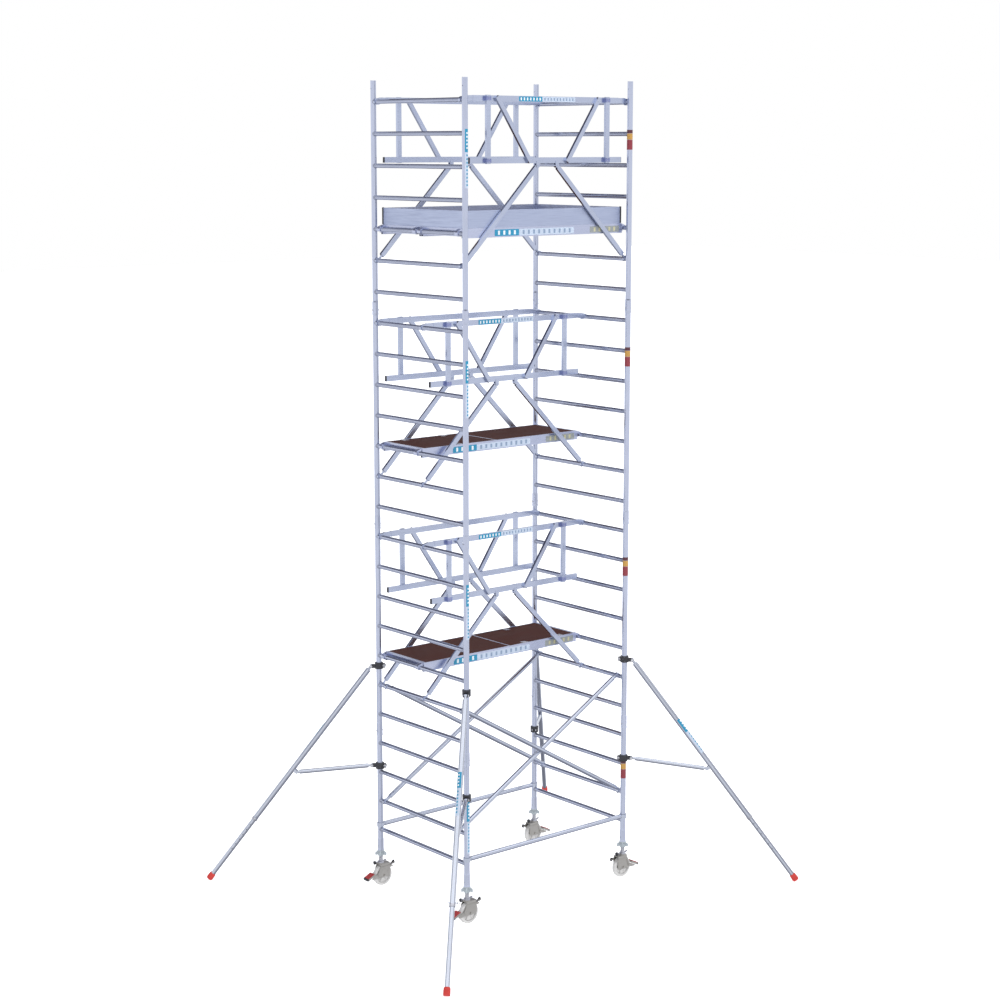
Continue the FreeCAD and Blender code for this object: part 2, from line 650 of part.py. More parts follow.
def hexagon(radius, height):
    turns = [k * math.pi / 3 for k in range(7)]
    points = [V(radius * math.cos(turn), radius * math.sin(turn), 0) for turn in turns]
    return Part.Face(Part.makePolygon(points)).extrude(UP * height)


def wheel():
    """Solid nylon wheel with a crowned tread, recessed web, ribs and hub."""
    half = WHEEL_HALF_W
    bore_r = AXLE_R + FIT_GAP
    profile = [(bore_r, -28), (24, -28), (26, -9), (74, -8), (78, -half), (92, -half), (98, -half + 5)]
    profile += [(WHEEL_R, -half + 12), (WHEEL_R, half - 12)]
    profile += [(98, half - 5), (92, half), (78, half), (74, 8), (26, 9), (24, 28), (bore_r, 28)]
    body = turned(profile)
    rib = box(24, 77, -3, 3, -16, 16)
    ribs = [spun(rib, 60 * index) for index in range(6)]
    body = body.fuse(ribs).removeSplitter()
    return [moved(spun(body, 90, axis=ALONG), TRAIL, 0, WHEEL_R)]


def brake():
    """Rocker with a pedal behind the wheel, two side bars and a release lever in front."""
    px, pz = BRAKE_PIVOT
    top_edge = [(-34, 188), (94, 188), (112, 183), (113, 171), (96, 168), (-22, 170)]
    low_edge = [(-38, 122), (-44, 100), (-78, 84), (-124, 84)]
    low_edge += [(-132, 94), (-92, 116), (-62, 126), (-46, 150)]
    pivot_hole = rod(BRAKE_PIVOT_R + FIT_GAP, V(px, -50, pz), V(px, 50, pz))
    solids = []
    for side in (-1, 1):
        bar = plate_xz(top_edge + low_edge, side * BAR_INNER, side * BAR_OUTER)
        solids.append(bar.cut(pivot_hole))
    tread = [(-89, 120), (-93, 130), (-101, 133), (-172, 99)]
    tread += [(-178, 88), (-172, 82), (-162, 84), (-94, 116)]
    solids.append(plate_xz(tread, -BAR_INNER, BAR_INNER))
    lever_x, lever_z = LEVER_ROD
    cross = rod(4.0, V(lever_x, -BAR_INNER, lever_z), V(lever_x, BAR_INNER, lever_z))
    tongue = bar_xz(LEVER_ROD, (153, 200), 6, 26, 0)
    solids.append(cross.fuse(tongue))
    return solids


def make_casters():
    for corner, (end, side) in CORNERS.items():
        x = end * HALF_SPAN
        y = side * HALF_WIDTH
        turn = 0 if end < 0 else 180
        fixed = {"caster_spindle": spindle(), "adjust_nut": adjust_nut()}
        turning = {"caster_fork": fork(), "caster_wheel": wheel(), "brake_pedal": brake()}
        for name, solids in fixed.items():
            export("%s_%s" % (name, corner), [moved(solid, x, y) for solid in solids])
        for name, solids in turning.items():
            export("%s_%s" % (name, corner), [moved(spun(solid, turn), x, y) for solid in solids])


# ---- stabilisers (built towards +X from a post on the Z axis) -----------------------------
def on_stabiliser(radial):
    """Point of the stabiliser's axis at a given distance from the post."""
    share = (radial - STAB_TOP[0]) / (STAB_END[0] - STAB_TOP[0])
    return V(radial, 0, STAB_TOP[1] + share * (STAB_END[1] - STAB_TOP[1]))


def post_clamp(height, pivot_z):
    """Two-part clamp: a ring round the post, bolt lugs and a forked ear for the pivot."""
    pivot = V(PIVOT_R, 0, pivot_z)
    body = rod(CLAMP_R, V(0, 0, height - CLAMP_H / 2), V(0, 0, height + CLAMP_H / 2))
    lug = box(-58, -20, -13, 13, height - 20, height + 20)
    body = body.fuse(lug.fuse(rod(13, V(-52, 0, height - 9), V(-52, 0, height + 9))))
    for side in (-1, 1):
        inner = side * EAR_INNER
        outer = side * EAR_OUTER
        ear = box(20, PIVOT_R, inner, outer, pivot_z - KNUCKLE_R, pivot_z + KNUCKLE_R)
        tip = rod(KNUCKLE_R, pivot + ACROSS * inner, pivot + ACROSS * outer)
        body = body.fuse([ear, tip])
    bolt = rod(5.0, V(-50, -24, height), V(-50, 24, height))
    cuts = [
        rod(POST_R + FIT_GAP, V(0, 0, height - 60), V(0, 0, height + 60)),
        box(-80, -20, -2, 2, height - 60, height + 60),
        rod(PIVOT_BOLT_R, pivot - ACROSS * 30, pivot + ACROSS * 30),
        bolt,
    ]
    for cut in cuts:
        body = body.cut(cut)
    return [body, bolt]


def tube_end(pivot, run, neck, tube_r, half_width):
    """Knuckle at a pivot, with a neck and a shoulder that closes the end of a tube."""
    side = ACROSS * half_width
    head = rod(KNUCKLE_R, pivot - side, pivot + side)
    head = head.fuse(rod(12.0, pivot, pivot + run * neck))
    head = head.fuse(rod(tube_r, pivot + run * (neck - 6), pivot + run * neck))
    return head.cut(rod(PIVOT_BOLT_R, pivot - ACROSS * 20, pivot + ACROSS * 20))


def pivot_bolt(pivot, half_length):
    return rod(PIVOT_BOLT_R, pivot - ACROSS * half_length, pivot + ACROSS * half_length)


def lower_arm(start, end):
    """Arm from the lower clamp to the main tube, with its ends and bolts."""
    run = end - start
    run.normalize()
    return [
        pipe(ARM_R, ARM_WALL, start + run * 44, end - run * 34),
        tube_end(start, run, 44, ARM_R, 12.5),
        pivot_bolt(start, 27),
        tube_end(end, run * -1, 34, ARM_R, 12),
        pivot_bolt(end, 21),
    ]


def arm_brackets(arm_end, tube):
    """Two cheeks that tie the arm's end to the main tube."""
    foot = closest_on_axis(arm_end)
    brackets = []
    for side in (-1, 1):
        ear = rod(KNUCKLE_R, arm_end + ACROSS * side * 12.3, arm_end + ACROSS * side * 17)
        strap = bar_xz((arm_end.x, arm_end.z), (foot.x, foot.z), 30, 4.7, side * 14.65)
        cheek = ear.fuse(strap).cut(tube).cut(pivot_bolt(arm_end, 30))
        brackets.append(max(cheek.Solids, key=lambda solid: solid.Volume))
    return brackets


def stabiliser_tube():
    """Outer tube with its top knuckle, lower arm and locking pin."""
    top = on_stabiliser(STAB_TOP[0])
    end = on_stabiliser(STAB_JOINT_R)
    run = end - top
    run.normalize()
    start = top + run * TOP_NECK
    pin_at = end - run * 32
    pin = rod(LEG_PIN_R, pin_at - ACROSS * 38, pin_at + ACROSS * 38)
    handle = rod(7.0, pin_at + ACROSS * 38, pin_at + ACROSS * 46)
    plug = rod(STAB_R - STAB_WALL, start, start + run * 30)
    arm_end = V(ARM_END[0], 0, ARM_END[1])
    solids = [
        pipe(STAB_R, STAB_WALL, start, end).cut(pin),
        tube_end(top, run, TOP_NECK, STAB_R, 12.5).fuse(plug),
        pivot_bolt(top, 27),
    ]
    solids += lower_arm(V(PIVOT_R, 0, CLAMP_LOWER_Z), arm_end)
    solids += arm_brackets(arm_end, rod(STAB_R, top, end))
    return solids + lock_halves(pin.fuse(handle), pin_at)


def lock_halves(lock, pin_at):
    """The locking pin reaches into the outer tube's wall on both sides, clear of the inner tube."""
    inner = STAB_R - STAB_WALL
    keep_out = box(pin_at.x - 60, pin_at.x + 60, -inner, inner, pin_at.z - 60, pin_at.z + 60)
    return lock.cut(keep_out).Solids


def closest_on_axis(point):
    start = on_stabiliser(STAB_TOP[0])
    run = on_stabiliser(STAB_END[0]) - start
    run.normalize()
    return start + run * (point - start).dot(run)


def stabiliser_leg():
    start = on_stabiliser(STAB_INNER_FROM_R)
    end = on_stabiliser(STAB_END[0])
    run = end - start
    run.normalize()
    inner_r = STAB_R - STAB_WALL - FIT_GAP
    tube = pipe(inner_r, 2.2, start, end - run * 14)
    joint = on_stabiliser(STAB_JOINT_R)
    for index in range(1, LEG_HOLES + 1):
        hole = joint + run * LEG_HOLE_PITCH * index
        tube = tube.cut(rod(LEG_PIN_R, hole - ACROSS * 40, hole + ACROSS * 40))
    return [tube]


def stabiliser_foot():
    """Moulded cap on the leg's end, cut flat where it stands on the floor."""
    end = on_stabiliser(STAB_END[0])
    run = end - on_stabiliser(STAB_TOP[0])
    run.normalize()
    start = end - run * FOOT_LENGTH
    cap = rod(FOOT_R, start, end)
    cap = cap.fuse(Part.makeCone(24.5, FOOT_R, 10, start - run * 10, run))
    inner_r = STAB_R - STAB_WALL - FIT_GAP
    cap = cap.cut(rod(inner_r, start - run * 20, end - run * 14))
    floor = box(1400, 1900, -100, 100, -100, 0)
    return [cap.cut(floor)]


def make_stabilisers():
    clamps = post_clamp(CLAMP_UPPER_Z, STAB_TOP[1]) + post_clamp(CLAMP_LOWER_Z, CLAMP_LOWER_Z)
    nodes = {
        "stabiliser_clamps": clamps,
        "stabiliser_tube": stabiliser_tube(),
        "stabiliser_leg": stabiliser_leg(),
        "stabiliser_foot": stabiliser_foot(),
    }
    for corner, (end, side) in CORNERS.items():
        heading = math.degrees(math.atan2(side, end))
        for name, solids in nodes.items():
            placed = [moved(spun(solid, heading), end * HALF_SPAN, side * HALF_WIDTH) for solid in solids]
            export("%s_%s" % (name, corner), placed)


os.makedirs("parts", exist_ok=True)
make_frames()
make_lock_pins()
make_guardrails()
make_braces()
make_decks()
make_toe_boards()
make_casters()
make_stabilisers()
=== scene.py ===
import logging
import math
from contextlib import contextmanager
from dataclasses import dataclass, field
from enum import Enum
from typing import Callable, Iterator, Optional, Sequence, Union

import bpy
from mathutils import Matrix, Vector


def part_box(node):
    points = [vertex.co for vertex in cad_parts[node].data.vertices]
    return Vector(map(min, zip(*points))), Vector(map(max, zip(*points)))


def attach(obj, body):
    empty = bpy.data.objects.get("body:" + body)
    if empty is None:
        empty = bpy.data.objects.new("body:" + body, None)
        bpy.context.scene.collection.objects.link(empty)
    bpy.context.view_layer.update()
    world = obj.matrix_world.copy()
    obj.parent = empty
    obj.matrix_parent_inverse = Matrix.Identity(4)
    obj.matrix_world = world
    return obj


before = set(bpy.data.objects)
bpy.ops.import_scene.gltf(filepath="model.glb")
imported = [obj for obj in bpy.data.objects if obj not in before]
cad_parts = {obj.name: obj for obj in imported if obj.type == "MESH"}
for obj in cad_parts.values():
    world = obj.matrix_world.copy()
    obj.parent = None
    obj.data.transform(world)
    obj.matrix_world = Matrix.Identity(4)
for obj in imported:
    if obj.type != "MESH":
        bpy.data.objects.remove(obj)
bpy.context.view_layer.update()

LOG = logging.getLogger("tower")
Colour = tuple[float, float, float]
Socket = bpy.types.NodeSocket
Piece = bpy.types.Object

X_AXIS = Vector((1, 0, 0))
Y_AXIS = Vector((0, 1, 0))
Z_AXIS = Vector((0, 0, 1))


# ---- sizes shared by the sub-assemblies -------------------------------------------------------
@dataclass(frozen=True)
class Plan:
    """Places and sizes that several sub-assemblies share, in metres."""

    half_span: float
    half_width: float
    rung_datum: float = 0.274
    rung_pitch: float = 0.280
    post_radius: float = 0.0254
    rung_radius: float = 0.020
    deck_rise: float = 0.040
    rail_rise: float = 0.014
    mid_rail_drop: float = 0.523

    def rung(self, number: int) -> float:
        """Height of a rung's centre."""
        return self.rung_datum + number * self.rung_pitch

    def corners(self) -> dict[str, tuple[int, int]]:
        """Signs of X and Y at each corner of the tower, by the corner's name."""
        return {"a_near": (-1, -1), "a_far": (-1, 1), "b_near": (1, -1), "b_far": (1, 1)}


def read_plan() -> Plan:
    """Works out the posts' places from the frame.

    Returns:
        The shared plan of the tower.
    """
    low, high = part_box("frame_b_base")
    post_flare = 0.0304
    return Plan(half_span=(low.x + high.x) / 2, half_width=high.y - post_flare)


# ---- materials --------------------------------------------------------------------------------
class Graph:
    """Grows one material's node tree around a Principled shader."""

    def __init__(self, name: str) -> None:
        """Starts a material that holds an output, a shader and Object coordinates.

        Args:
            name: Material name.
        """
        self.material = bpy.data.materials.new(name)
        self.material.use_nodes = True
        self.tree = self.material.node_tree
        self.tree.nodes.clear()
        self.shader = self.tree.nodes.new("ShaderNodeBsdfPrincipled")
        output = self.tree.nodes.new("ShaderNodeOutputMaterial")
        self.tree.links.new(self.shader.outputs["BSDF"], output.inputs["Surface"])
        self.place = self.tree.nodes.new("ShaderNodeTexCoord").outputs["Object"]

    def set(self, **values: Union[float, Colour]) -> None:
        """Sets constants on the shader's own sockets; underscores stand for spaces.

        Args:
            values: Shader inputs by name, with underscores for spaces.
        """
        for key, value in values.items():
            socket = self.shader.inputs[key.replace("_", " ").title().replace("Ior", "IOR")]
            socket.default_value = (*value, 1.0) if isinstance(value, tuple) else value

    def feed(self, source: Socket, name: str) -> None:
        """Links a pattern to one of the shader's sockets."""
        self.tree.links.new(source, self.shader.inputs[name])

    def stretched(self, scale: Sequence[float]) -> Socket:
        """Object coordinates stretched along the axes.

        Args:
            scale: Factor along X, Y and Z.

        Returns:
            The stretched coordinates.
        """
        mapping = self.tree.nodes.new("ShaderNodeMapping")
        mapping.inputs["Scale"].default_value = tuple(scale)
        self.tree.links.new(self.place, mapping.inputs["Vector"])
        return mapping.outputs["Vector"]

    def noise(self, size: float, scale: Sequence[float] = (1, 1, 1), detail: float = 3.0) -> Socket:
        """Cloudy pattern.

        Args:
            size: Typical width of a patch, in metres.
            scale: Stretch along the axes, where less than 1 draws the patches out.
            detail: Octaves of finer noise.

        Returns:
            The pattern, from 0 to 1.
        """
        noise = self.tree.nodes.new("ShaderNodeTexNoise")
        noise.inputs["Scale"].default_value = 1.0 / size
        noise.inputs["Detail"].default_value = detail
        self.tree.links.new(self.stretched(scale), noise.inputs["Vector"])
        return noise.outputs["Fac"]

    def cells(self, size: float, scale: Sequence[float] = (1, 1, 1)) -> Socket:
        """Distance to the nearest point of a cell pattern, for grips and grit.

        Args:
            size: Size of a cell.
            scale: Stretch along each axis.

        Returns:
            The pattern.
        """
        cells = self.tree.nodes.new("ShaderNodeTexVoronoi")
        cells.inputs["Scale"].default_value = 1.0 / size
        self.tree.links.new(self.stretched(scale), cells.inputs["Vector"])
        return cells.outputs["Distance"]

    def along(self, axis: str) -> Socket:
        """One Object coordinate, in metres.

        Args:
            axis: X, Y or Z.

        Returns:
            The coordinate.
        """
        split = self.tree.nodes.new("ShaderNodeSeparateXYZ")
        self.tree.links.new(self.place, split.inputs["Vector"])
        return split.outputs[axis]

    def maths(self, kind: str, first: Socket, second: Union[Socket, float] = 0.0) -> Socket:
        """One Math node.

        Args:
            kind: The node's operation.
            first: First value.
            second: Second value, a socket or a number.

        Returns:
            The result.
        """
        node = self.tree.nodes.new("ShaderNodeMath")
        node.operation = kind
        self.tree.links.new(first, node.inputs[0])
        if isinstance(second, (int, float)):
            node.inputs[1].default_value = second
        else:
            self.tree.links.new(second, node.inputs[1])
        return node.outputs["Value"]

    def spread(
        self, source: Socket, low: float, high: float, start: float = 0.3, stop: float = 0.7
    ) -> Socket:
        """Maps a pattern to a range of values.

        Args:
            source: The pattern.
            low: Value where the pattern is at start or less.
            high: Value where the pattern is at stop or more.
            start: Pattern value that gives low.
            stop: Pattern value that gives high.

        Returns:
            The mapped value.
        """
        node = self.tree.nodes.new("ShaderNodeMapRange")
        for name, value in (("From Min", start), ("From Max", stop), ("To Min", low), ("To Max", high)):
            node.inputs[name].default_value = value
        self.tree.links.new(source, node.inputs["Value"])
        return node.outputs["Result"]

    def mix(self, share: Socket, first: Union[Socket, Colour], second: Union[Socket, Colour]) -> Socket:
        """Blends two colours.

        Args:
            share: 0 gives the first colour and 1 the second.
            first: A colour or a colour socket.
            second: A colour or a colour socket.

        Returns:
            The blended colour.
        """
        node = self.tree.nodes.new("ShaderNodeMix")
        node.data_type = "RGBA"
        self.tree.links.new(share, node.inputs["Factor"])
        for name, value in (("A", first), ("B", second)):
            socket = [s for s in node.inputs if s.name == name and s.type == "RGBA"][0]
            if isinstance(value, tuple):
                socket.default_value = (*value, 1.0)
            else:
                self.tree.links.new(value, socket)
        return [s for s in node.outputs if s.type == "RGBA"][0]

    def bump(self, height: Socket, depth: float, strength: float = 0.5) -> None:
        """Feeds a bump of a real depth, in metres, to the shader.

        Args:
            height: Height pattern.
            depth: Its depth in metres.
            strength: The bump's strength.
        """
        node = self.tree.nodes.new("ShaderNodeBump")
        node.inputs["Strength"].default_value = strength
        node.inputs["Distance"].default_value = depth
        self.tree.links.new(height, node.inputs["Height"])
        self.tree.links.new(node.outputs["Normal"], self.shader.inputs["Normal"])


def tinted(colour: Colour, factor: float) -> Colour:
    """The colour made lighter or darker."""
    return tuple(min(1.0, channel * factor) for channel in colour)


@dataclass(frozen=True)
class Metal:
    """Bare or plated metal with drawn streaks, dull patches and a fine grain."""

    name: str
    colour: Colour
    roughness: float = 0.24
    streak: tuple[float, float, float] = (1.0, 1.0, 0.04)
    patch: float = 0.16
    grain: float = 0.00002
    metallic: float = 1.0

    def build(self) -> bpy.types.Material:
        """Makes the material.

        Returns:
            The material.
        """
        graph = Graph(self.name)
        graph.set(metallic=self.metallic)
        clouds = graph.noise(0.45, (1, 1, 1), 4.0)
        streaks = graph.noise(0.006, self.streak, 2.0)
        dull, bright = tinted(self.colour, 1 - self.patch), tinted(self.colour, 1 + self.patch * 0.5)
        shade = graph.mix(clouds, dull, bright)
        marked = graph.mix(graph.spread(streaks, 0.0, 0.25, 0.45, 0.8), shade, tinted(self.colour, 0.76))
        graph.feed(marked, "Base Color")
        graph.feed(graph.spread(streaks, self.roughness * 0.8, self.roughness * 1.3), "Roughness")
        graph.bump(streaks, self.grain)
        return graph.material


@dataclass(frozen=True)
class FrameMetal:
    """Ladder frame tube: posts drawn along Z and rungs along Y, with the rungs darker and rougher towards
    the welds.
    """

    name: str
    colour: Colour
    half_width: float
    post_radius: float

    def build(self) -> bpy.types.Material:
        """Makes the material.

        Returns:
            The material.
        """
        graph = Graph(self.name)
        graph.set(metallic=1.0)
        across = graph.maths("ABSOLUTE", graph.along("Y"))
        on_post = graph.maths("GREATER_THAN", across, self.half_width - self.post_radius * 1.15)
        post_streaks = graph.noise(0.006, (1, 1, 0.04), 2.0)
        rung_streaks = graph.noise(0.006, (1, 0.04, 1), 2.0)
        clouds = graph.noise(0.5, (1, 1, 1), 4.0)
        streaks = graph.maths(
            "ADD",
            graph.maths("MULTIPLY", post_streaks, on_post),
            graph.maths("MULTIPLY", rung_streaks, graph.maths("SUBTRACT", on_post, 1.0)),
        )
        streaks = graph.maths("ABSOLUTE", streaks)
        body = graph.mix(clouds, tinted(self.colour, 0.86), tinted(self.colour, 1.06))
        body = graph.mix(graph.spread(streaks, 0.0, 0.3, 0.45, 0.8), body, tinted(self.colour, 0.74))
        # rungs grow darker and rougher towards the joint with the post
        weld_zone = graph.spread(across, 0.0, 1.0, self.half_width - 0.060, self.half_width - 0.027)
        off_post = graph.maths("LESS_THAN", across, self.half_width - 0.024)
        weld_zone = graph.maths("MULTIPLY", weld_zone, off_post)
        near_weld_darkening = graph.maths("MULTIPLY", weld_zone, 0.35)
        graph.feed(graph.mix(near_weld_darkening, body, tinted(self.colour, 0.55)), "Base Color")
        scale = graph.maths("MULTIPLY", weld_zone, 0.2)
        graph.feed(graph.maths("ADD", graph.spread(streaks, 0.10, 0.17), scale), "Roughness")
        graph.bump(streaks, 0.00002)
        return graph.material


@dataclass(frozen=True)
class PhenolicPly:
    """Brown phenolic-faced board with a pressed anti-slip mesh, worn paler where people step."""

    name: str = "phenolic_ply"
    colour: Colour = (0.062, 0.024, 0.019)

    def build(self) -> bpy.types.Material:
        """Makes the material.

        Returns:
            The material.
        """
        graph = Graph(self.name)
        mesh = graph.cells(0.0065, (1, 1.15, 1))
        wear = graph.noise(0.28, (1, 1.6, 1), 5.0)
        dust = graph.noise(0.02, (1, 1, 1), 6.0)
        base = graph.mix(wear, tinted(self.colour, 0.75), tinted(self.colour, 1.5))
        base = graph.mix(graph.spread(dust, 0.0, 0.16, 0.5, 0.85), base, (0.13, 0.08, 0.065))
        edge = graph.maths("GREATER_THAN", graph.spread(mesh, 0.0, 1.0, 0.2, 0.55), 0.6)
        worn_edge = graph.maths("MULTIPLY", edge, 0.3)
        graph.feed(graph.mix(worn_edge, base, tinted(self.colour, 1.9)), "Base Color")
        graph.feed(graph.spread(wear, 0.62, 0.8), "Roughness")
        graph.set(specular_ior_level=0.08)
        graph.bump(mesh, 0.0006, 0.8)
        return graph.material


@dataclass(frozen=True)
class Moulded:
    """Moulded plastic or rubber with a soft grain and scuffs."""

    name: str
    colour: Colour
    roughness: float = 0.45
    scuff: Colour = (0.5, 0.5, 0.5)
    scuff_share: float = 0.08
    grain: float = 0.0002

    def build(self) -> bpy.types.Material:
        """Makes the material.

        Returns:
            The material.
        """
        graph = Graph(self.name)
        clouds = graph.noise(0.06, (1, 1, 1), 4.0)
        scuffs = graph.noise(0.011, (1, 1, 0.5), 6.0)
        base = graph.mix(clouds, tinted(self.colour, 0.82), tinted(self.colour, 1.12))
        marks = graph.spread(scuffs, 0.0, self.scuff_share * 4, 0.6, 0.8)
        graph.feed(graph.mix(marks, base, self.scuff), "Base Color")
        graph.feed(graph.spread(clouds, self.roughness * 0.85, self.roughness * 1.25), "Roughness")
        graph.bump(graph.noise(0.0015), self.grain, 0.4)
        return graph.material


@dataclass(frozen=True)
class Coated:
    """Powder coat or zinc plating on steel, with chips that show the metal along the surface."""

    name: str
    colour: Colour
    chip: Colour
    roughness: float = 0.4
    chip_share: float = 0.35
    metallic: float = 0.0

    def build(self) -> bpy.types.Material:
        """Makes the material.

        Returns:
            The material.
        """
        graph = Graph(self.name)
        graph.set(metallic=self.metallic)
        orange_peel = graph.noise(0.0022, (1, 1, 1), 2.0)
        patches = graph.noise(0.035, (1, 1, 1), 5.0)
        chips = graph.spread(graph.noise(0.009, (1, 1, 1), 7.0), 0.0, self.chip_share, 0.62, 0.7)
        base = graph.mix(patches, tinted(self.colour, 0.8), tinted(self.colour, 1.2))
        graph.feed(graph.mix(chips, base, self.chip), "Base Color")
        graph.feed(graph.spread(patches, self.roughness * 0.8, self.roughness * 1.3), "Roughness")
        graph.bump(orange_peel, 0.0001, 0.4)
        return graph.material


@dataclass(frozen=True)
class Printed:
    """Vinyl film in one plain colour, a little faded in patches."""

    name: str
    colour: Colour

    def build(self) -> bpy.types.Material:
        """Makes the material.

        Returns:
            The material.
        """
        graph = Graph(self.name)
        fade = graph.noise(0.05, (1, 1, 1), 3.0)
        graph.feed(graph.mix(fade, tinted(self.colour, 0.86), tinted(self.colour, 1.1)), "Base Color")
        graph.feed(graph.spread(fade, 0.28, 0.42), "Roughness")
        graph.bump(fade, 0.00004, 0.3)
        return graph.material


@dataclass(frozen=True)
class StudioFloor:
    """Plain pale floor with the faintest tonal drift."""

    name: str = "studio_floor"

    def build(self) -> bpy.types.Material:
        """Makes the material.

        Returns:
            The material.
        """
        graph = Graph(self.name)
        graph.feed(graph.mix(graph.noise(6.0), (0.93, 0.93, 0.935), (0.95, 0.95, 0.95)), "Base Color")
        graph.set(roughness=0.9, emission_color=(1.0, 1.0, 1.0), emission_strength=0.6)
        return graph.material


class Finish(Enum):
    """The finishes of the tower, each made once and shared."""

    GUARDRAIL = Metal("guardrail_metal", (0.60, 0.65, 0.79), 0.22, (0.04, 1, 1))
    BRACE = Metal("brace_metal", (0.66, 0.70, 0.80), 0.13, (0.05, 1, 0.3))
    STABILISER = Metal("stabiliser_metal", (0.68, 0.71, 0.78), 0.13, (0.6, 0.6, 0.06))
    DECK = Metal("deck_metal", (0.64, 0.68, 0.84), 0.28, (0.04, 1, 1))
    TOE_BOARD = Metal("toe_board_metal", (0.60, 0.66, 0.83), 0.45, (0.03, 0.03, 1), 0.08)
    # dark blue tone of the guardrail saddles: painted shadow that the uprights cast on the rails
    CASTING = Metal("claw_casting", (0.36, 0.40, 0.66), 0.36, (1, 1, 1), 0.2, 0.0002)
    ZINC = Metal("zinc_plate", (0.62, 0.62, 0.66), 0.26, (1, 1, 0.4), 0.25)
    BRIGHT = Metal("bright_bolt", (0.80, 0.80, 0.82), 0.18, (1, 1, 1), 0.1)
    CAST_NUT = Metal("cast_zinc", (0.60, 0.66, 0.68), 0.42, (1, 1, 1), 0.18, 0.0002, 0.85)
    FORK = Metal("fork_steel", (0.52, 0.50, 0.46), 0.42, (1, 1, 0.5), 0.22, 0.0001, 0.9)
    WELD = Metal("weld_bead", (0.46, 0.48, 0.56), 0.42, (1, 8, 1), 0.3, 0.0004)
    PLY = PhenolicPly()
    NYLON = Moulded("nylon_wheel", (0.57, 0.56, 0.54), 0.42, (0.45, 0.43, 0.40), 0.05)
    BLACK_PLASTIC = Moulded("black_plastic", (0.018, 0.018, 0.021), 0.42, (0.2, 0.2, 0.2), 0.05)
    RED_RUBBER = Moulded("red_rubber", (0.53, 0.035, 0.025), 0.5, (0.25, 0.08, 0.07), 0.06)
    PEDAL_RED = Moulded("pedal_red", (0.40, 0.045, 0.045), 0.5, (0.2, 0.1, 0.1), 0.1)
    CLAMP_BLACK = Coated("clamp_coat", (0.022, 0.022, 0.026), (0.45, 0.45, 0.5), 0.34)
    CYAN = Printed("label_cyan", (0.010, 0.22, 0.37))
    PALE = Printed("label_pale", (0.44, 0.51, 0.61))
    WHITE = Printed("label_white", (0.66, 0.70, 0.72))
    SLATE = Printed("label_slate", (0.20, 0.27, 0.38))
    DARK_RED = Printed("label_dark_red", (0.085, 0.022, 0.030))
    AMBER = Printed("label_amber", (0.46, 0.25, 0.05))
    RED = Printed("label_red", (0.23, 0.028, 0.040))
    GREY_LABEL = Printed("label_grey", (0.25, 0.27, 0.27))
    STRAW = Printed("label_straw", (0.46, 0.44, 0.27))


class Palette:
    """Hands out each finish's material, built at its first use."""

    made: dict[str, bpy.types.Material] = {}

    @classmethod
    def get(cls, finish: Finish) -> bpy.types.Material:
        """The material of a finish.

        Args:
            finish: The finish.

        Returns:
            Its material.
        """
        if finish.name not in cls.made:
            cls.made[finish.name] = finish.value.build()
        return cls.made[finish.name]


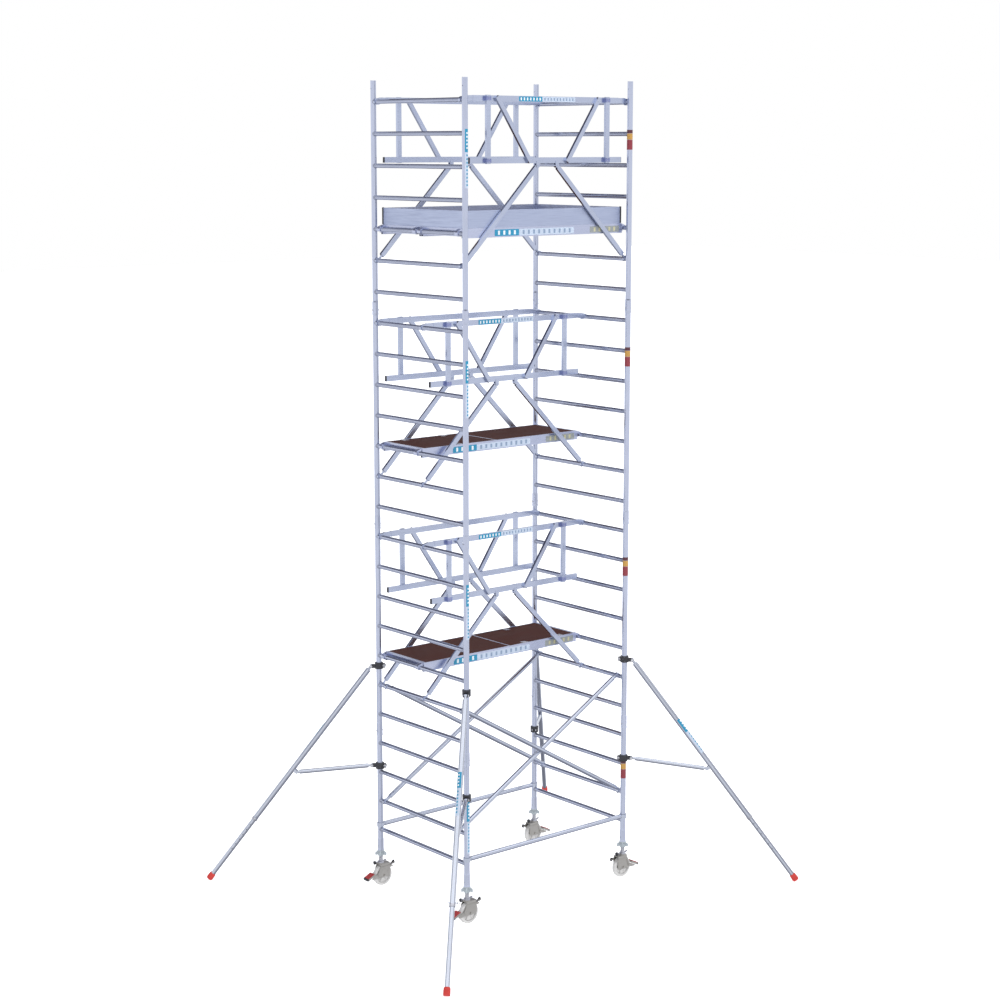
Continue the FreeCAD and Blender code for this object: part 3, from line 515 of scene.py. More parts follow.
# ---- modelling moves --------------------------------------------------------------------------
class Bench:
    """Modelling moves that the sub-assemblies share, made with Blender's own operators."""

    @staticmethod
    def clear() -> None:
        """Deselects everything, so that an operator acts only on what comes next."""
        if bpy.context.object is not None and bpy.context.object.mode != "OBJECT":
            bpy.ops.object.mode_set(mode="OBJECT")
        bpy.ops.object.select_all(action="DESELECT")

    @staticmethod
    def take(*pieces: Piece) -> Piece:
        """Selects only these pieces and makes the first one active.

        Args:
            pieces: The pieces.

        Returns:
            The first piece.
        """
        Bench.clear()
        for piece in pieces:
            piece.select_set(True)
        bpy.context.view_layer.objects.active = pieces[0]
        return pieces[0]

    @staticmethod
    @contextmanager
    def editing(piece: Piece) -> Iterator[Piece]:
        """Opens a piece in edit mode for the operators inside the block.

        Args:
            piece: The piece.

        Yields:
            The same piece.
        """
        Bench.take(piece)
        bpy.ops.object.mode_set(mode="EDIT")
        yield piece
        bpy.ops.object.mode_set(mode="OBJECT")

    @staticmethod
    def pick_faces(piece: Piece, test: Callable[[Vector, Vector], bool]) -> None:
        """Selects the faces whose centre and normal pass a test.

        Args:
            piece: Piece in object mode.
            test: Called with each face's centre and normal, in the piece's own space.
        """
        mesh = piece.data
        for group in (mesh.vertices, mesh.edges, mesh.polygons):
            group.foreach_set("select", [False] * len(group))
        for face in mesh.polygons:
            face.select = test(face.center.copy(), face.normal.copy())

    @staticmethod
    def shape_faces(
        piece: Piece, test: Callable[[Vector, Vector], bool], moves: Callable[[], None]
    ) -> Piece:
        """Runs edit-mode operators on the faces that pass a test.

        Args:
            piece: The piece to shape.
            test: Called with each face's centre and normal.
            moves: Runs the operators.

        Returns:
            The same piece.
        """
        Bench.pick_faces(piece, test)
        bpy.context.scene.tool_settings.mesh_select_mode = (False, False, True)
        with Bench.editing(piece):
            moves()
        return piece

    @staticmethod
    def block(
        name: str, low: Sequence[float], high: Sequence[float], turn: Optional[Matrix] = None
    ) -> Piece:
        """Starts a piece from a cube stretched between two corners.

        Args:
            name: Piece name.
            low: Lowest corner.
            high: Highest corner.
            turn: Placement applied after the stretch.

        Returns:
            The piece, with its transform applied.
        """
        Bench.clear()
        bpy.ops.mesh.primitive_cube_add(size=1.0)
        piece = bpy.context.object
        piece.name = name
        piece.scale = [b - a for a, b in zip(low, high)]
        piece.location = [(a + b) / 2 for a, b in zip(low, high)]
        return Bench.settle(piece, turn)

    @staticmethod
    def drum(
        name: str, radius: float, start: Vector, end: Vector, sides: int = 32, top: float = 1.0
    ) -> Piece:
        """Starts a piece from a cylinder, or a cone, between two points.

        Args:
            name: Piece name.
            radius: Radius at the start.
            start: Centre of the first end.
            end: Centre of the other end.
            sides: Number of sides.
            top: Radius at the end, as a share of the first.

        Returns:
            The piece, with its transform applied.
        """
        Bench.clear()
        run = end - start
        bpy.ops.mesh.primitive_cone_add(
            vertices=sides, radius1=radius, radius2=radius * top, depth=run.length
        )
        piece = bpy.context.object
        piece.name = name
        piece.matrix_world = facing(run, (start + end) / 2)
        return Bench.settle(piece)

    @staticmethod
    def ring(name: str, radius: float, wire: float, centre: Vector, axis: Vector, sides: int = 36) -> Piece:
        """Starts a piece from a torus.

        Args:
            name: Piece name.
            radius: Radius of the ring's centre line.
            wire: Radius of its section.
            centre: Centre of the ring.
            axis: Axis of the ring.
            sides: Segments round the ring.

        Returns:
            The piece, with its transform applied.
        """
        Bench.clear()
        bpy.ops.mesh.primitive_torus_add(
            major_radius=radius, minor_radius=wire, major_segments=sides, minor_segments=10
        )
        piece = bpy.context.object
        piece.name = name
        piece.matrix_world = facing(axis, centre)
        return Bench.settle(piece)

    @staticmethod
    def settle(piece: Piece, turn: Optional[Matrix] = None) -> Piece:
        """Applies a piece's transform, so that its place is in its mesh.

        Args:
            piece: The piece.
            turn: Placement applied after its own transform.

        Returns:
            The same piece.
        """
        Bench.take(piece)
        bpy.ops.object.transform_apply(location=True, rotation=True, scale=True)
        if turn is not None:
            piece.matrix_world = turn
            bpy.ops.object.transform_apply(location=True, rotation=True, scale=True)
        return piece

    @staticmethod
    def modify(piece: Piece, kind: str, **settings: object) -> Piece:
        """Adds one modifier, sets it up and applies it.

        Args:
            piece: The piece.
            kind: The modifier's type.
            settings: The modifier's settings.

        Returns:
            The same piece.
        """
        Bench.take(piece)
        modifier = piece.modifiers.new(kind.lower(), kind)
        for key, value in settings.items():
            setattr(modifier, key, value)
        bpy.ops.object.modifier_apply(modifier=modifier.name)
        return piece

    @staticmethod
    def carve(piece: Piece, cutter: Piece, operation: str) -> Piece:
        """Keeps or removes the part of a piece inside a cutter, which is then deleted.

        Args:
            piece: The piece to cut.
            cutter: Closed shape to cut with.
            operation: "INTERSECT" to keep the part inside, "DIFFERENCE" to remove it.

        Returns:
            The cut piece.
        """
        Bench.modify(piece, "BOOLEAN", object=cutter, operation=operation)
        bpy.data.objects.remove(cutter)
        return piece

    @staticmethod
    def soften(piece: Piece, width: float, segments: int = 2) -> Piece:
        """Rounds a piece's edges.

        Args:
            piece: The piece.
            width: Width of the rounding.
            segments: Number of facets in it.

        Returns:
            The same piece.
        """
        return Bench.modify(
            piece,
            "BEVEL",
            width=width,
            segments=segments,
            limit_method="ANGLE",
            angle_limit=math.radians(30),
        )

    @staticmethod
    def copies(pattern: Piece, places: Sequence[Matrix]) -> list[Piece]:
        """Copies a finished pattern to several places, each copy with its own mesh.

        Args:
            pattern: The pattern, modelled at the origin. It is deleted.
            places: Placement of each copy.

        Returns:
            The copies.
        """
        made = []
        for place in places:
            piece = pattern.copy()
            piece.data = pattern.data.copy()
            bpy.context.scene.collection.objects.link(piece)
            piece.data.transform(place)
            if place.determinant() < 0:
                piece.data.flip_normals()
            made.append(piece)
        bpy.data.objects.remove(pattern)
        return made

    @staticmethod
    def join(name: str, pieces: Sequence[Piece]) -> Piece:
        """Joins pieces into one and names it.

        Args:
            name: Name of the whole.
            pieces: The pieces.

        Returns:
            The whole.
        """
        Bench.take(*pieces)
        if len(pieces) > 1:
            bpy.ops.object.join()
        whole = bpy.context.object
        whole.name = name
        whole.data.name = name
        return whole

    @staticmethod
    def finish(piece: Piece, finish: Finish, body: str, slot: str, angle: float = 35.0) -> Piece:
        """Gives a piece its finish, smooth shading and body.

        Args:
            piece: The finished mesh.
            finish: Its finish.
            body: Body that it rides on.
            slot: The record's material slot; not used.
            angle: Edges sharper than this many degrees stay sharp.

        Returns:
            The same piece.
        """
        Bench.take(piece)
        piece.data.materials.clear()
        piece.data.materials.append(Palette.get(finish))
        bpy.ops.object.shade_smooth_by_angle(angle=math.radians(angle))
        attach(piece, body)
        LOG.info("%s rides on %s, %d faces", piece.name, body, len(piece.data.polygons))
        return piece


def at(x: float, y: float, z: float) -> Matrix:
    """Placement that only moves."""
    return Matrix.Translation((x, y, z))


def facing(direction: Vector, centre: Vector) -> Matrix:
    """Placement that turns +Z towards a direction and moves to a centre."""
    return Matrix.Translation(centre) @ direction.to_track_quat("Z", "Y").to_matrix().to_4x4()


def rivet(radius: float = 0.004) -> Piece:
    """Domed rivet head on the plane z = 0, as a pattern for copies.

    Args:
        radius: Radius of the rivet's head.

    Returns:
        The rivet, on the plane z = 0.
    """
    Bench.clear()
    bpy.ops.mesh.primitive_uv_sphere_add(segments=14, ring_count=8, radius=radius)
    piece = bpy.context.object
    piece.scale.z = 0.5
    Bench.settle(piece)
    with Bench.editing(piece):
        bpy.ops.mesh.select_all(action="SELECT")
        bpy.ops.mesh.bisect(plane_co=(0, 0, 0), plane_no=(0, 0, 1), use_fill=True, clear_inner=True)
    return piece


def hex_bolt(radius: float, height: float) -> Piece:
    """Hexagon head with a washer on the plane z = 0, as a pattern for copies.

    Args:
        radius: Radius across the corners.
        height: The head's height.

    Returns:
        The bolt head, on the plane z = 0.
    """
    head = Bench.drum("head", radius, Vector((0, 0, 0.0012)), Vector((0, 0, 0.0012 + height)), 6)
    Bench.shape_faces(
        head,
        lambda centre, normal: normal.z > 0.9,
        lambda: bpy.ops.mesh.inset(thickness=radius * 0.16, depth=radius * 0.08),
    )
    Bench.soften(head, radius * 0.06, 1)
    washer = Bench.drum("washer", radius * 1.35, Vector((0, 0, 0)), Vector((0, 0, 0.0016)), 24)
    Bench.soften(washer, 0.0004, 1)
    return Bench.join("bolt", [head, washer])


def tube_end_cap(width: float, depth: float, thickness: float = 0.004) -> Piece:
    """Push-in cap for a rectangular tube: a rounded plate with a dished middle, facing +Z.

    Args:
        width: Width of the bar.
        depth: Depth of the bar.
        thickness: The cap's thickness.

    Returns:
        The cap, on the plane z = 0.
    """
    piece = Bench.block("cap", (-width / 2, -depth / 2, 0), (width / 2, depth / 2, thickness))
    Bench.shape_faces(
        piece,
        lambda centre, normal: normal.z > 0.9,
        lambda: bpy.ops.mesh.inset(thickness=depth * 0.2, depth=-thickness * 0.3),
    )
    return Bench.soften(piece, thickness * 0.3, 2)


def flat_label(name: str, length: float, height: float) -> Piece:
    """Thin label with rounded corners, lying on the plane z = 0 with its length along X.

    Args:
        name: Piece name.
        length: Length along X.
        height: Height along Y.

    Returns:
        The label.
    """
    Bench.clear()
    bpy.ops.mesh.primitive_plane_add(size=1.0)
    piece = bpy.context.object
    piece.name = name
    piece.scale = (length, height, 1.0)
    Bench.settle(piece)
    with Bench.editing(piece):
        bpy.ops.mesh.select_all(action="SELECT")
        bpy.ops.mesh.bevel(offset=min(length, height) * 0.12, segments=3, affect="VERTICES")
    return Bench.modify(piece, "SOLIDIFY", thickness=0.0004, offset=1.0)


def dash_row(start: float, stop: float, pitch: float = 0.036) -> list[float]:
    """Centres of a row of plain dashes between two ends.

    Args:
        start: First end of the row.
        stop: Other end of the row.
        pitch: Distance from dash to dash.

    Returns:
        The dashes' centres.
    """
    count = int((stop - start) / pitch)
    first = (start + stop - (count - 1) * pitch) / 2
    return [first + index * pitch for index in range(count)]


def wrapped_label(
    name: str, radius: float, start: Vector, end: Vector, towards: Vector, reach: float
) -> Piece:
    """Label wrapped part of the way round a tube.

    Args:
        name: Piece name.
        radius: Radius of the tube.
        start: First end of the label, on the tube's axis.
        end: Other end of the label.
        towards: Direction that the label's middle faces.
        reach: Half of the angle it covers, in degrees.

    Returns:
        The label.
    """
    piece = Bench.drum(name, radius + 0.0003, start, end, 64)
    run = (end - start).normalized()
    facing_way = (towards - run * towards.dot(run)).normalized()
    limit = math.cos(math.radians(reach))
    Bench.shape_faces(
        piece,
        lambda centre, normal: normal.dot(facing_way) < limit or abs(normal.dot(run)) > 0.5,
        lambda: bpy.ops.mesh.delete(type="FACE"),
    )
    return Bench.modify(piece, "SOLIDIFY", thickness=0.0004, offset=1.0)


def tube_marks(
    radius: float, start: Vector, end: Vector, towards: Vector, reach: float = 17.0
) -> list[Piece]:
    """Row of plain dashes along a label on a tube.

    Args:
        radius: Radius of the tube.
        start: First end of the label, on the tube's axis.
        end: Other end of the label.
        towards: Direction that the label's middle faces.
        reach: Half of the angle that a dash covers, in degrees.

    Returns:
        The dashes.
    """
    run = (end - start).normalized()
    dash = run * 0.015
    pattern = wrapped_label("dash", radius + 0.0004, Vector(), dash, towards, reach)
    rows = dash_row(0.008, (end - start).length - 0.008, 0.031)
    return Bench.copies(pattern, [Matrix.Translation(start + run * row - dash / 2) for row in rows])


def dress_node(node: str, finish: Finish, round_width: float = 0.0) -> None:
    """Gives a CAD node its finish and, if asked, rounds its edges with live modifiers.

    Args:
        node: CAD node.
        finish: Its finish.
        round_width: Width of the rounded edges in metres, or 0 for none.
    """
    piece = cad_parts[node]
    piece.data.materials.clear()
    piece.data.materials.append(Palette.get(finish))
    if round_width > 0:
        weld = piece.modifiers.new("weld", "WELD")
        weld.merge_threshold = 0.00001
        bevel = piece.modifiers.new("round", "BEVEL")
        bevel.width = round_width
        bevel.segments = 2
        bevel.limit_method = "ANGLE"
        bevel.angle_limit = math.radians(40)
        bevel.use_clamp_overlap = True
    LOG.info("%s dressed as %s", node, finish.name)


# ---- ladder frames ----------------------------------------------------------------------------
@dataclass
class LadderFrames:
    """Weld beads and labels of the end frames."""

    plan: Plan
    bead_rise: float = 0.0028
    strip_front: tuple[float, float, float] = (0.12, -1.0, 0.0)
    strip_reach: float = 48.0
    band_front: tuple[float, float, float] = (-0.63, -0.77, 0.0)
    band_reach: float = 100.0
    label_rise: float = 1.643
    base_label_rise: float = 0.803
    bands: tuple[tuple[Finish, float], ...] = (
        (Finish.DARK_RED, 0.032),
        (Finish.AMBER, 0.056),
        (Finish.RED, 0.090),
    )
    marks: dict[Finish, Finish] = field(
        default_factory=lambda: {Finish.CYAN: Finish.WHITE, Finish.PALE: Finish.CYAN}
    )
    levels: dict[str, tuple[int, int]] = field(
        default_factory=lambda: {"base": (1, 4), "lower": (5, 11), "middle": (12, 18), "upper": (19, 25)}
    )

    def weld_pattern(self) -> Piece:
        """Saddle of weld where a rung meets its post, along -Y from the post's axis at the origin.

        Returns:
            The bead.
        """
        rise = self.bead_rise
        reach = Vector((0, -self.plan.post_radius - rise, 0))
        half = Z_AXIS * 0.05
        bead = Bench.drum("bead", self.plan.rung_radius + rise, Vector(), reach, 40)
        outside = Bench.drum("outside", self.plan.post_radius + rise, -half, half, 48)
        Bench.carve(bead, outside, "INTERSECT")
        inside = Bench.drum("inside", self.plan.post_radius - 0.0003, -half, half, 48)
        Bench.carve(bead, inside, "DIFFERENCE")
        return Bench.soften(bead, rise * 0.7, 3)

    def weld_places(self, end: int, level: str) -> list[Matrix]:
        """Placements of the beads on one frame.

        Args:
            end: -1 for end A, 1 for end B.
            level: The frame's level.

        Returns:
            The placements.
        """
        first, last = self.levels[level]
        places = []
        for number in range(first, last + 1):
            for side in (-1, 1):
                turn = Matrix.Identity(4) if side > 0 else Matrix.Rotation(math.pi, 4, "Z")
                x, y = end * self.plan.half_span, side * self.plan.half_width
                places.append(at(x, y, self.plan.rung(number)) @ turn)
        return places

    def label_top(self, node: str, level: str) -> float:
        """Height of a frame's label, counted from the foot of its posts."""
        low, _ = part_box(node)
        return low.z + (self.base_label_rise if level == "base" else self.label_rise)

    def labels(self, level: str) -> None:
        """Sticks the name strip on the near A post and the warning bands on the near B post.

        Args:
            level: The frames' level.
        """
        radius = self.plan.post_radius
        stacks = (
            (-1, Vector(self.strip_front), self.strip_reach, ((Finish.CYAN, 0.195), (Finish.PALE, 0.30))),
            (1, Vector(self.band_front), self.band_reach, self.bands),
        )
        for end, front, reach, stack in stacks:
            node = f"frame_{'a' if end < 0 else 'b'}_{level}"
            top = self.label_top(node, level)
            for finish, length in stack:
                high = Vector((end * self.plan.half_span, -self.plan.half_width, top))
                low = high - Z_AXIS * (length - 0.002)
                name = f"{finish.name.lower()}_{node[6:]}"
                label = wrapped_label(f"label_{name}", radius, low, high, front, reach)
                Bench.finish(label, finish, "tower", "frame_aluminium", 60)
                if finish in self.marks:
                    marks = Bench.join(f"marks_{name}", tube_marks(radius, low, high, front))
                    Bench.finish(marks, self.marks[finish], "tower", "frame_aluminium", 60)
                top -= length

    def build(self) -> None:
        """Dresses the frames and adds beads and labels."""
        for end, letter in ((-1, "a"), (1, "b")):
            for level in self.levels:
                node = f"frame_{letter}_{level}"
                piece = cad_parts[node]
                piece.data.materials.clear()
                piece.data.materials.append(frame_metal(self.plan))
                beads = Bench.copies(self.weld_pattern(), self.weld_places(end, level))
                whole = Bench.join(f"welds_{letter}_{level}", beads)
                Bench.finish(whole, Finish.WELD, "tower", "frame_aluminium", 60)
        for level in self.levels:
            self.labels(level)
        dress_node("frame_lock_pins", Finish.ZINC)


def frame_metal(plan: Plan) -> bpy.types.Material:
    """The ladder frames' own finish, made once.

    Args:
        plan: The tower's dimensions.

    Returns:
        The material.
    """
    if "FRAME" not in Palette.made:
        finish = FrameMetal("frame_metal", (0.65, 0.69, 0.82), plan.half_width, plan.post_radius)
        Palette.made["FRAME"] = finish.build()
    return Palette.made["FRAME"]


# ---- guardrails -------------------------------------------------------------------------------
@dataclass(frozen=True)
class GuardrailPlace:
    """Where one guardrail hangs."""

    node: str
    rung: int
    rail_y: float
    outward: int
    labelled: bool


@dataclass
class Guardrails:
    """Caps, saddle brackets, rivets and labels of the guardrail frames."""

    plan: Plan
    depth: float = 0.025
    rail_height: float = 0.050
    upright_x: float = 0.690
    mid_rail_half: float = 0.878
    vee_top_x: float = 0.590
    vee_low_x: float = 0.215
    vee_width: float = 0.040
    places: tuple[GuardrailPlace, ...] = (
        GuardrailPlace("guardrail_lower_inner", 11, -0.045, -1, True),
        GuardrailPlace("guardrail_lower_outer", 11, 0.600, 1, False),
        GuardrailPlace("guardrail_middle_inner", 18, -0.045, -1, True),
        GuardrailPlace("guardrail_middle_outer", 18, 0.600, 1, False),
        GuardrailPlace("guardrail_top_near", 25, -0.600, -1, True),
        GuardrailPlace("guardrail_top_far", 25, 0.600, 1, False),
    )

    def rail_heights(self, place: GuardrailPlace) -> tuple[float, float]:
        """Centre heights of the top rail and the mid rail."""
        top = self.plan.rung(place.rung) + self.plan.rail_rise
        return top, top - self.plan.mid_rail_drop

    def rail_caps(self, place: GuardrailPlace) -> None:
        """Black caps in the ends of the mid rail.

        Args:
            place: The guardrail.
        """
        _, mid = self.rail_heights(place)
        made = []
        for side in (-1, 1):
            turn = facing(X_AXIS * side, Vector((side * self.mid_rail_half, place.rail_y, mid)))
            cap = tube_end_cap(self.rail_height, self.depth)
            made += Bench.copies(cap, [turn @ Matrix.Rotation(math.pi / 2, 4, "Z")])
        whole = Bench.join(f"caps_{place.node[10:]}", made)
        Bench.finish(whole, Finish.BLACK_PLASTIC, "tower", "clamp_black")

    def bar_caps(self, place: GuardrailPlace) -> None:
        """Pressed metal caps in the ends of the uprights and the diagonals.

        Args:
            place: The guardrail.
        """
        top, mid = self.rail_heights(place)
        outer_y = place.rail_y + place.outward * self.depth
        half_rail = self.rail_height / 2
        flip = Matrix.Rotation(math.pi, 4, "X")
        made = []
        for side in (-1, 1):
            for height, turn in ((top + half_rail, Matrix.Identity(4)), (mid - half_rail, flip)):
                spot = at(side * self.upright_x, outer_y, height) @ turn
                made += Bench.copies(tube_end_cap(0.045, self.depth), [spot])
            low = Vector((side * self.vee_low_x, outer_y, mid - half_rail / 2))
            high = Vector((side * self.vee_top_x, outer_y, top + half_rail / 2))
            run = (high - low).normalized()
            tilt = Matrix.Rotation(side * math.atan2(abs(run.x), run.z), 4, "Y")
            for spot, turn in ((high, tilt), (low, tilt @ flip)):
                cap = tube_end_cap(self.vee_width, self.depth)
                made += Bench.copies(cap, [Matrix.Translation(spot) @ turn])
        whole = Bench.join(f"bar_caps_{place.node[10:]}", made)
        Bench.finish(whole, Finish.GUARDRAIL, "tower", "guardrail_aluminium")

    def saddle_pattern(self) -> Piece:
        """Pressed saddle that clasps an upright to a rail, facing -Y with its bar along Z.

        Returns:
            The saddle.
        """
        width = 0.047
        plate = Bench.block("saddle", (-width / 2, -0.0028, -0.017), (width / 2, 0.0, 0.017))
        Bench.shape_faces(
            plate,
            lambda centre, normal: abs(normal.x) > 0.9,
            lambda: bpy.ops.mesh.extrude_region_shrink_fatten(
                TRANSFORM_OT_shrink_fatten={"value": 0.0035}
            ),
        )
        Bench.shape_faces(
            plate,
            lambda centre, normal: normal.y > 0.9 and abs(centre.x) > width / 2,
            lambda: bpy.ops.mesh.extrude_region_move(TRANSFORM_OT_translate={"value": (0, 0.027, 0)}),
        )
        Bench.soften(plate, 0.0009, 2)
        return plate

    def saddles(self, place: GuardrailPlace) -> None:
        """Saddles and their rivets where the uprights cross both rails; the saddles' dark blue tone is
        painted shadow of the uprights on the rails.

        Args:
            place: The guardrail.
        """
        outer_face = place.rail_y + place.outward * self.depth * 1.5
        turn = Matrix.Identity(4) if place.outward < 0 else Matrix.Rotation(math.pi, 4, "Z")
        spots = []
        for height in self.rail_heights(place):
            for side in (-1, 1):
                spots.append(at(side * self.upright_x, outer_face, height) @ turn)
        made = Bench.copies(self.saddle_pattern(), spots)
        # the saddles' dark blue flanges beside each upright are painted shadow on the rail
        Bench.finish(
            Bench.join(f"saddles_{place.node[10:]}", made), Finish.CASTING, "tower", "guardrail_aluminium"
        )
        rivets = []
        for spot in spots:
            for offset in (-0.010, 0.010):
                rivets.append(spot @ at(0, -0.0028, offset) @ Matrix.Rotation(math.pi / 2, 4, "X"))
        rivets += self.diagonal_rivets(place)
        made = Bench.copies(rivet(0.0038), rivets)
        Bench.finish(Bench.join(f"rivets_{place.node[10:]}", made), Finish.BRIGHT, "tower", "zinc_steel")

    def diagonal_rivets(self, place: GuardrailPlace) -> list[Matrix]:
        """Placements of the rivets where the diagonals cross the rails.

        Args:
            place: The guardrail.

        Returns:
            The placements.
        """
        top, mid = self.rail_heights(place)
        face = place.rail_y + place.outward * self.depth * 1.5
        turn = Matrix.Rotation(math.pi / 2 * (1 if place.outward < 0 else -1), 4, "X")
        slope = (self.vee_top_x - self.vee_low_x) / (top - mid + self.rail_height / 2)
        places = []
        for side in (-1, 1):
            for height in (top, mid):
                for offset in (-0.008, 0.008):
                    rise = height + offset - (mid - self.rail_height / 4)
                    places.append(at(side * (self.vee_low_x + slope * rise), face, height + offset) @ turn)
        return places

    def labels(self, place: GuardrailPlace) -> None:
        """Plain name strip in two colours on the outer face of the top rail.

        Args:
            place: The guardrail.
        """
        top, _ = self.rail_heights(place)
        face = place.rail_y + place.outward * self.depth / 2
        turn = Matrix.Rotation(math.pi / 2, 4, "X")
        for finish, start, stop in ((Finish.CYAN, -0.330, -0.065), (Finish.PALE, -0.063, 0.320)):
            name = f"label_{finish.name.lower()}_{place.node[10:]}"
            pattern = flat_label("strip", stop - start, 0.042)
            strip = Bench.copies(pattern, [at((start + stop) / 2, face, top) @ turn])[0]
            strip.name = name
            Bench.finish(strip, finish, "tower", "guardrail_aluminium")
            spots = [at(x, face + place.outward * 0.0004, top) @ turn for x in dash_row(start, stop)]
            marks = Bench.copies(flat_label("dash", 0.015, 0.024), spots)
            mark_finish = Finish.WHITE if finish is Finish.CYAN else Finish.SLATE
            marks = Bench.join(f"marks_{name[6:]}", marks)
            Bench.finish(marks, mark_finish, "tower", "guardrail_aluminium")

    def build(self) -> None:
        """Dresses every guardrail."""
        for place in self.places:
            dress_node(place.node, Finish.GUARDRAIL, 0.0012)
            self.rail_caps(place)
            self.bar_caps(place)
            self.saddles(place)
            if place.labelled:
                self.labels(place)


# ---- platforms --------------------------------------------------------------------------------
@dataclass(frozen=True)
class DeckPlace:
    """Where one platform hangs, and where its trapdoor is."""

    name: str
    level: int
    near_edge: float
    lid: str = ""
    hinge_near: bool = True
    hinge_x: tuple[float, float] = (0.300, 0.741)


@dataclass
class Platforms:
    """Lids' hinges and latches, board rivets, labels and toe board clips."""

    plan: Plan
    width: float = 0.579
    lip: float = 0.008
    lid_drop: float = 0.002
    beam_height: float = 0.084
    barrel: float = 0.0042
    marks: dict[Finish, Finish] = field(
        default_factory=lambda: {
            Finish.CYAN: Finish.WHITE,
            Finish.PALE: Finish.SLATE,
            Finish.GREY_LABEL: Finish.STRAW,
        }
    )
    places: tuple[DeckPlace, ...] = (
        DeckPlace("lower", 7, 0.004, "trapdoor_lower"),
        DeckPlace("middle", 14, 0.004, "trapdoor_middle", False, (-0.704, -0.258)),
        DeckPlace("top_far", 21, 0.004, "trapdoor_top"),
        DeckPlace("top_near", 21, -0.583),
    )

    def hinge_axis(self, place: DeckPlace) -> tuple[float, float, int]:
        """Y and Z of a lid's hinge line, and the way the lid lies from it."""
        low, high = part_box(place.lid)
        return (low.y, high.z, 1) if place.hinge_near else (high.y, high.z, -1)

    def leaf(self, name: str, x: float, y0: float, y1: float, z: float, half: float) -> Piece:
        """Hinge leaf: a thin plate with rounded edges and a raised rim.

        Args:
            name: Piece name.
            x: Middle of the leaf along X.
            y0: One edge along Y.
            y1: Other edge along Y.
            z: Height of its underside.
            half: Half of its length along X.

        Returns:
            The leaf.
        """
        plate = Bench.block(name, (x - half, min(y0, y1), z), (x + half, max(y0, y1), z + 0.0022))
        Bench.shape_faces(
            plate,
            lambda centre, normal: normal.z > 0.9,
            lambda: bpy.ops.mesh.inset(thickness=0.003, depth=-0.0006),
        )
        return Bench.soften(plate, 0.0005, 2)

    def knuckle(self, name: str, x0: float, x1: float, y: float, z: float) -> Piece:
        """One barrel of a hinge, with rounded ends."""
        barrel = Bench.drum(name, self.barrel, Vector((x0, y, z)), Vector((x1, y, z)), 20)
        return Bench.soften(barrel, 0.0008, 2)

    def hinges(self, place: DeckPlace) -> None:
        """Two hinges: the middle barrel and one leaf ride on the lid, the rest on the tower.

        Args:
            place: The platform.
        """
        y, z, way = self.hinge_axis(place)
        lid_parts, deck_parts, rivets = [], [], []
        for x in place.hinge_x:
            lid_parts.append(self.leaf("lid_leaf", x, y + way * 0.0042, y + way * 0.052, z + 0.0002, 0.030))
            lid_parts.append(self.knuckle("lid_barrel", x - 0.0125, x + 0.0125, y, z))
            for side in (-1, 1):
                inner, outer = x + side * 0.0132, x + side * 0.030
                deck_parts.append(self.knuckle("deck_barrel", min(inner, outer), max(inner, outer), y, z))
            edge, inner, top = y - way * 0.0120, y - way * 0.0046, z + self.lid_drop + 0.0001
            deck_parts.append(self.leaf("deck_leaf", x, edge, inner, top, 0.030))
            for offset in (-0.018, 0.018):
                for reach in (0.016, 0.038):
                    rivets.append(at(x + offset, y + way * reach, z + 0.0018))
        lid_parts += Bench.copies(rivet(0.0034), rivets)
        body = place.lid
        Bench.finish(Bench.join(f"hinge_lid_{place.name}", lid_parts), Finish.ZINC, body, "zinc_steel")
        Bench.finish(Bench.join(f"hinge_deck_{place.name}", deck_parts), Finish.ZINC, "tower", "zinc_steel")

    def latch(self, place: DeckPlace) -> None:
        """Turn catch and finger ring at the lid's free edge.

        Args:
            place: The platform.
        """
        low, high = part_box(place.lid)
        free_y = high.y if place.hinge_near else low.y
        way = 1 if place.hinge_near else -1
        x = (low.x + high.x) / 2
        z = high.z
        plate = self.leaf("latch_plate", x, free_y - way * 0.060, free_y - way * 0.006, z + 0.0002, 0.028)
        centre = Vector((x, free_y - way * 0.034, z + 0.0036))
        ring = Bench.ring("latch_ring", 0.014, 0.0018, centre, Z_AXIS)
        low_corner = (x - 0.009, free_y - 0.010, z + 0.0022)
        catch = Bench.block("catch", low_corner, (x + 0.009, free_y + 0.006, z + 0.0052))
        Bench.soften(catch, 0.001, 2)
        whole = Bench.join(f"latch_{place.name}", [plate, ring, catch])
        Bench.finish(whole, Finish.ZINC, place.lid, "zinc_steel")

    def board_rivets(self, place: DeckPlace) -> None:
        """Rows of flat rivets along both lips, which hold the fixed boards.

        Args:
            place: The platform.
        """
        top = self.plan.rung(place.level) + self.plan.deck_rise
        pitch = 0.145
        spots = []
        for y in (place.near_edge + self.lip / 2, place.near_edge + self.width - self.lip / 2):
            for index in range(-6, 7):
                spots.append(at(index * pitch, y, top))
        made = Bench.copies(rivet(0.0026), spots)
        Bench.finish(Bench.join(f"board_rivets_{place.name}", made), Finish.BRIGHT, "tower", "zinc_steel")

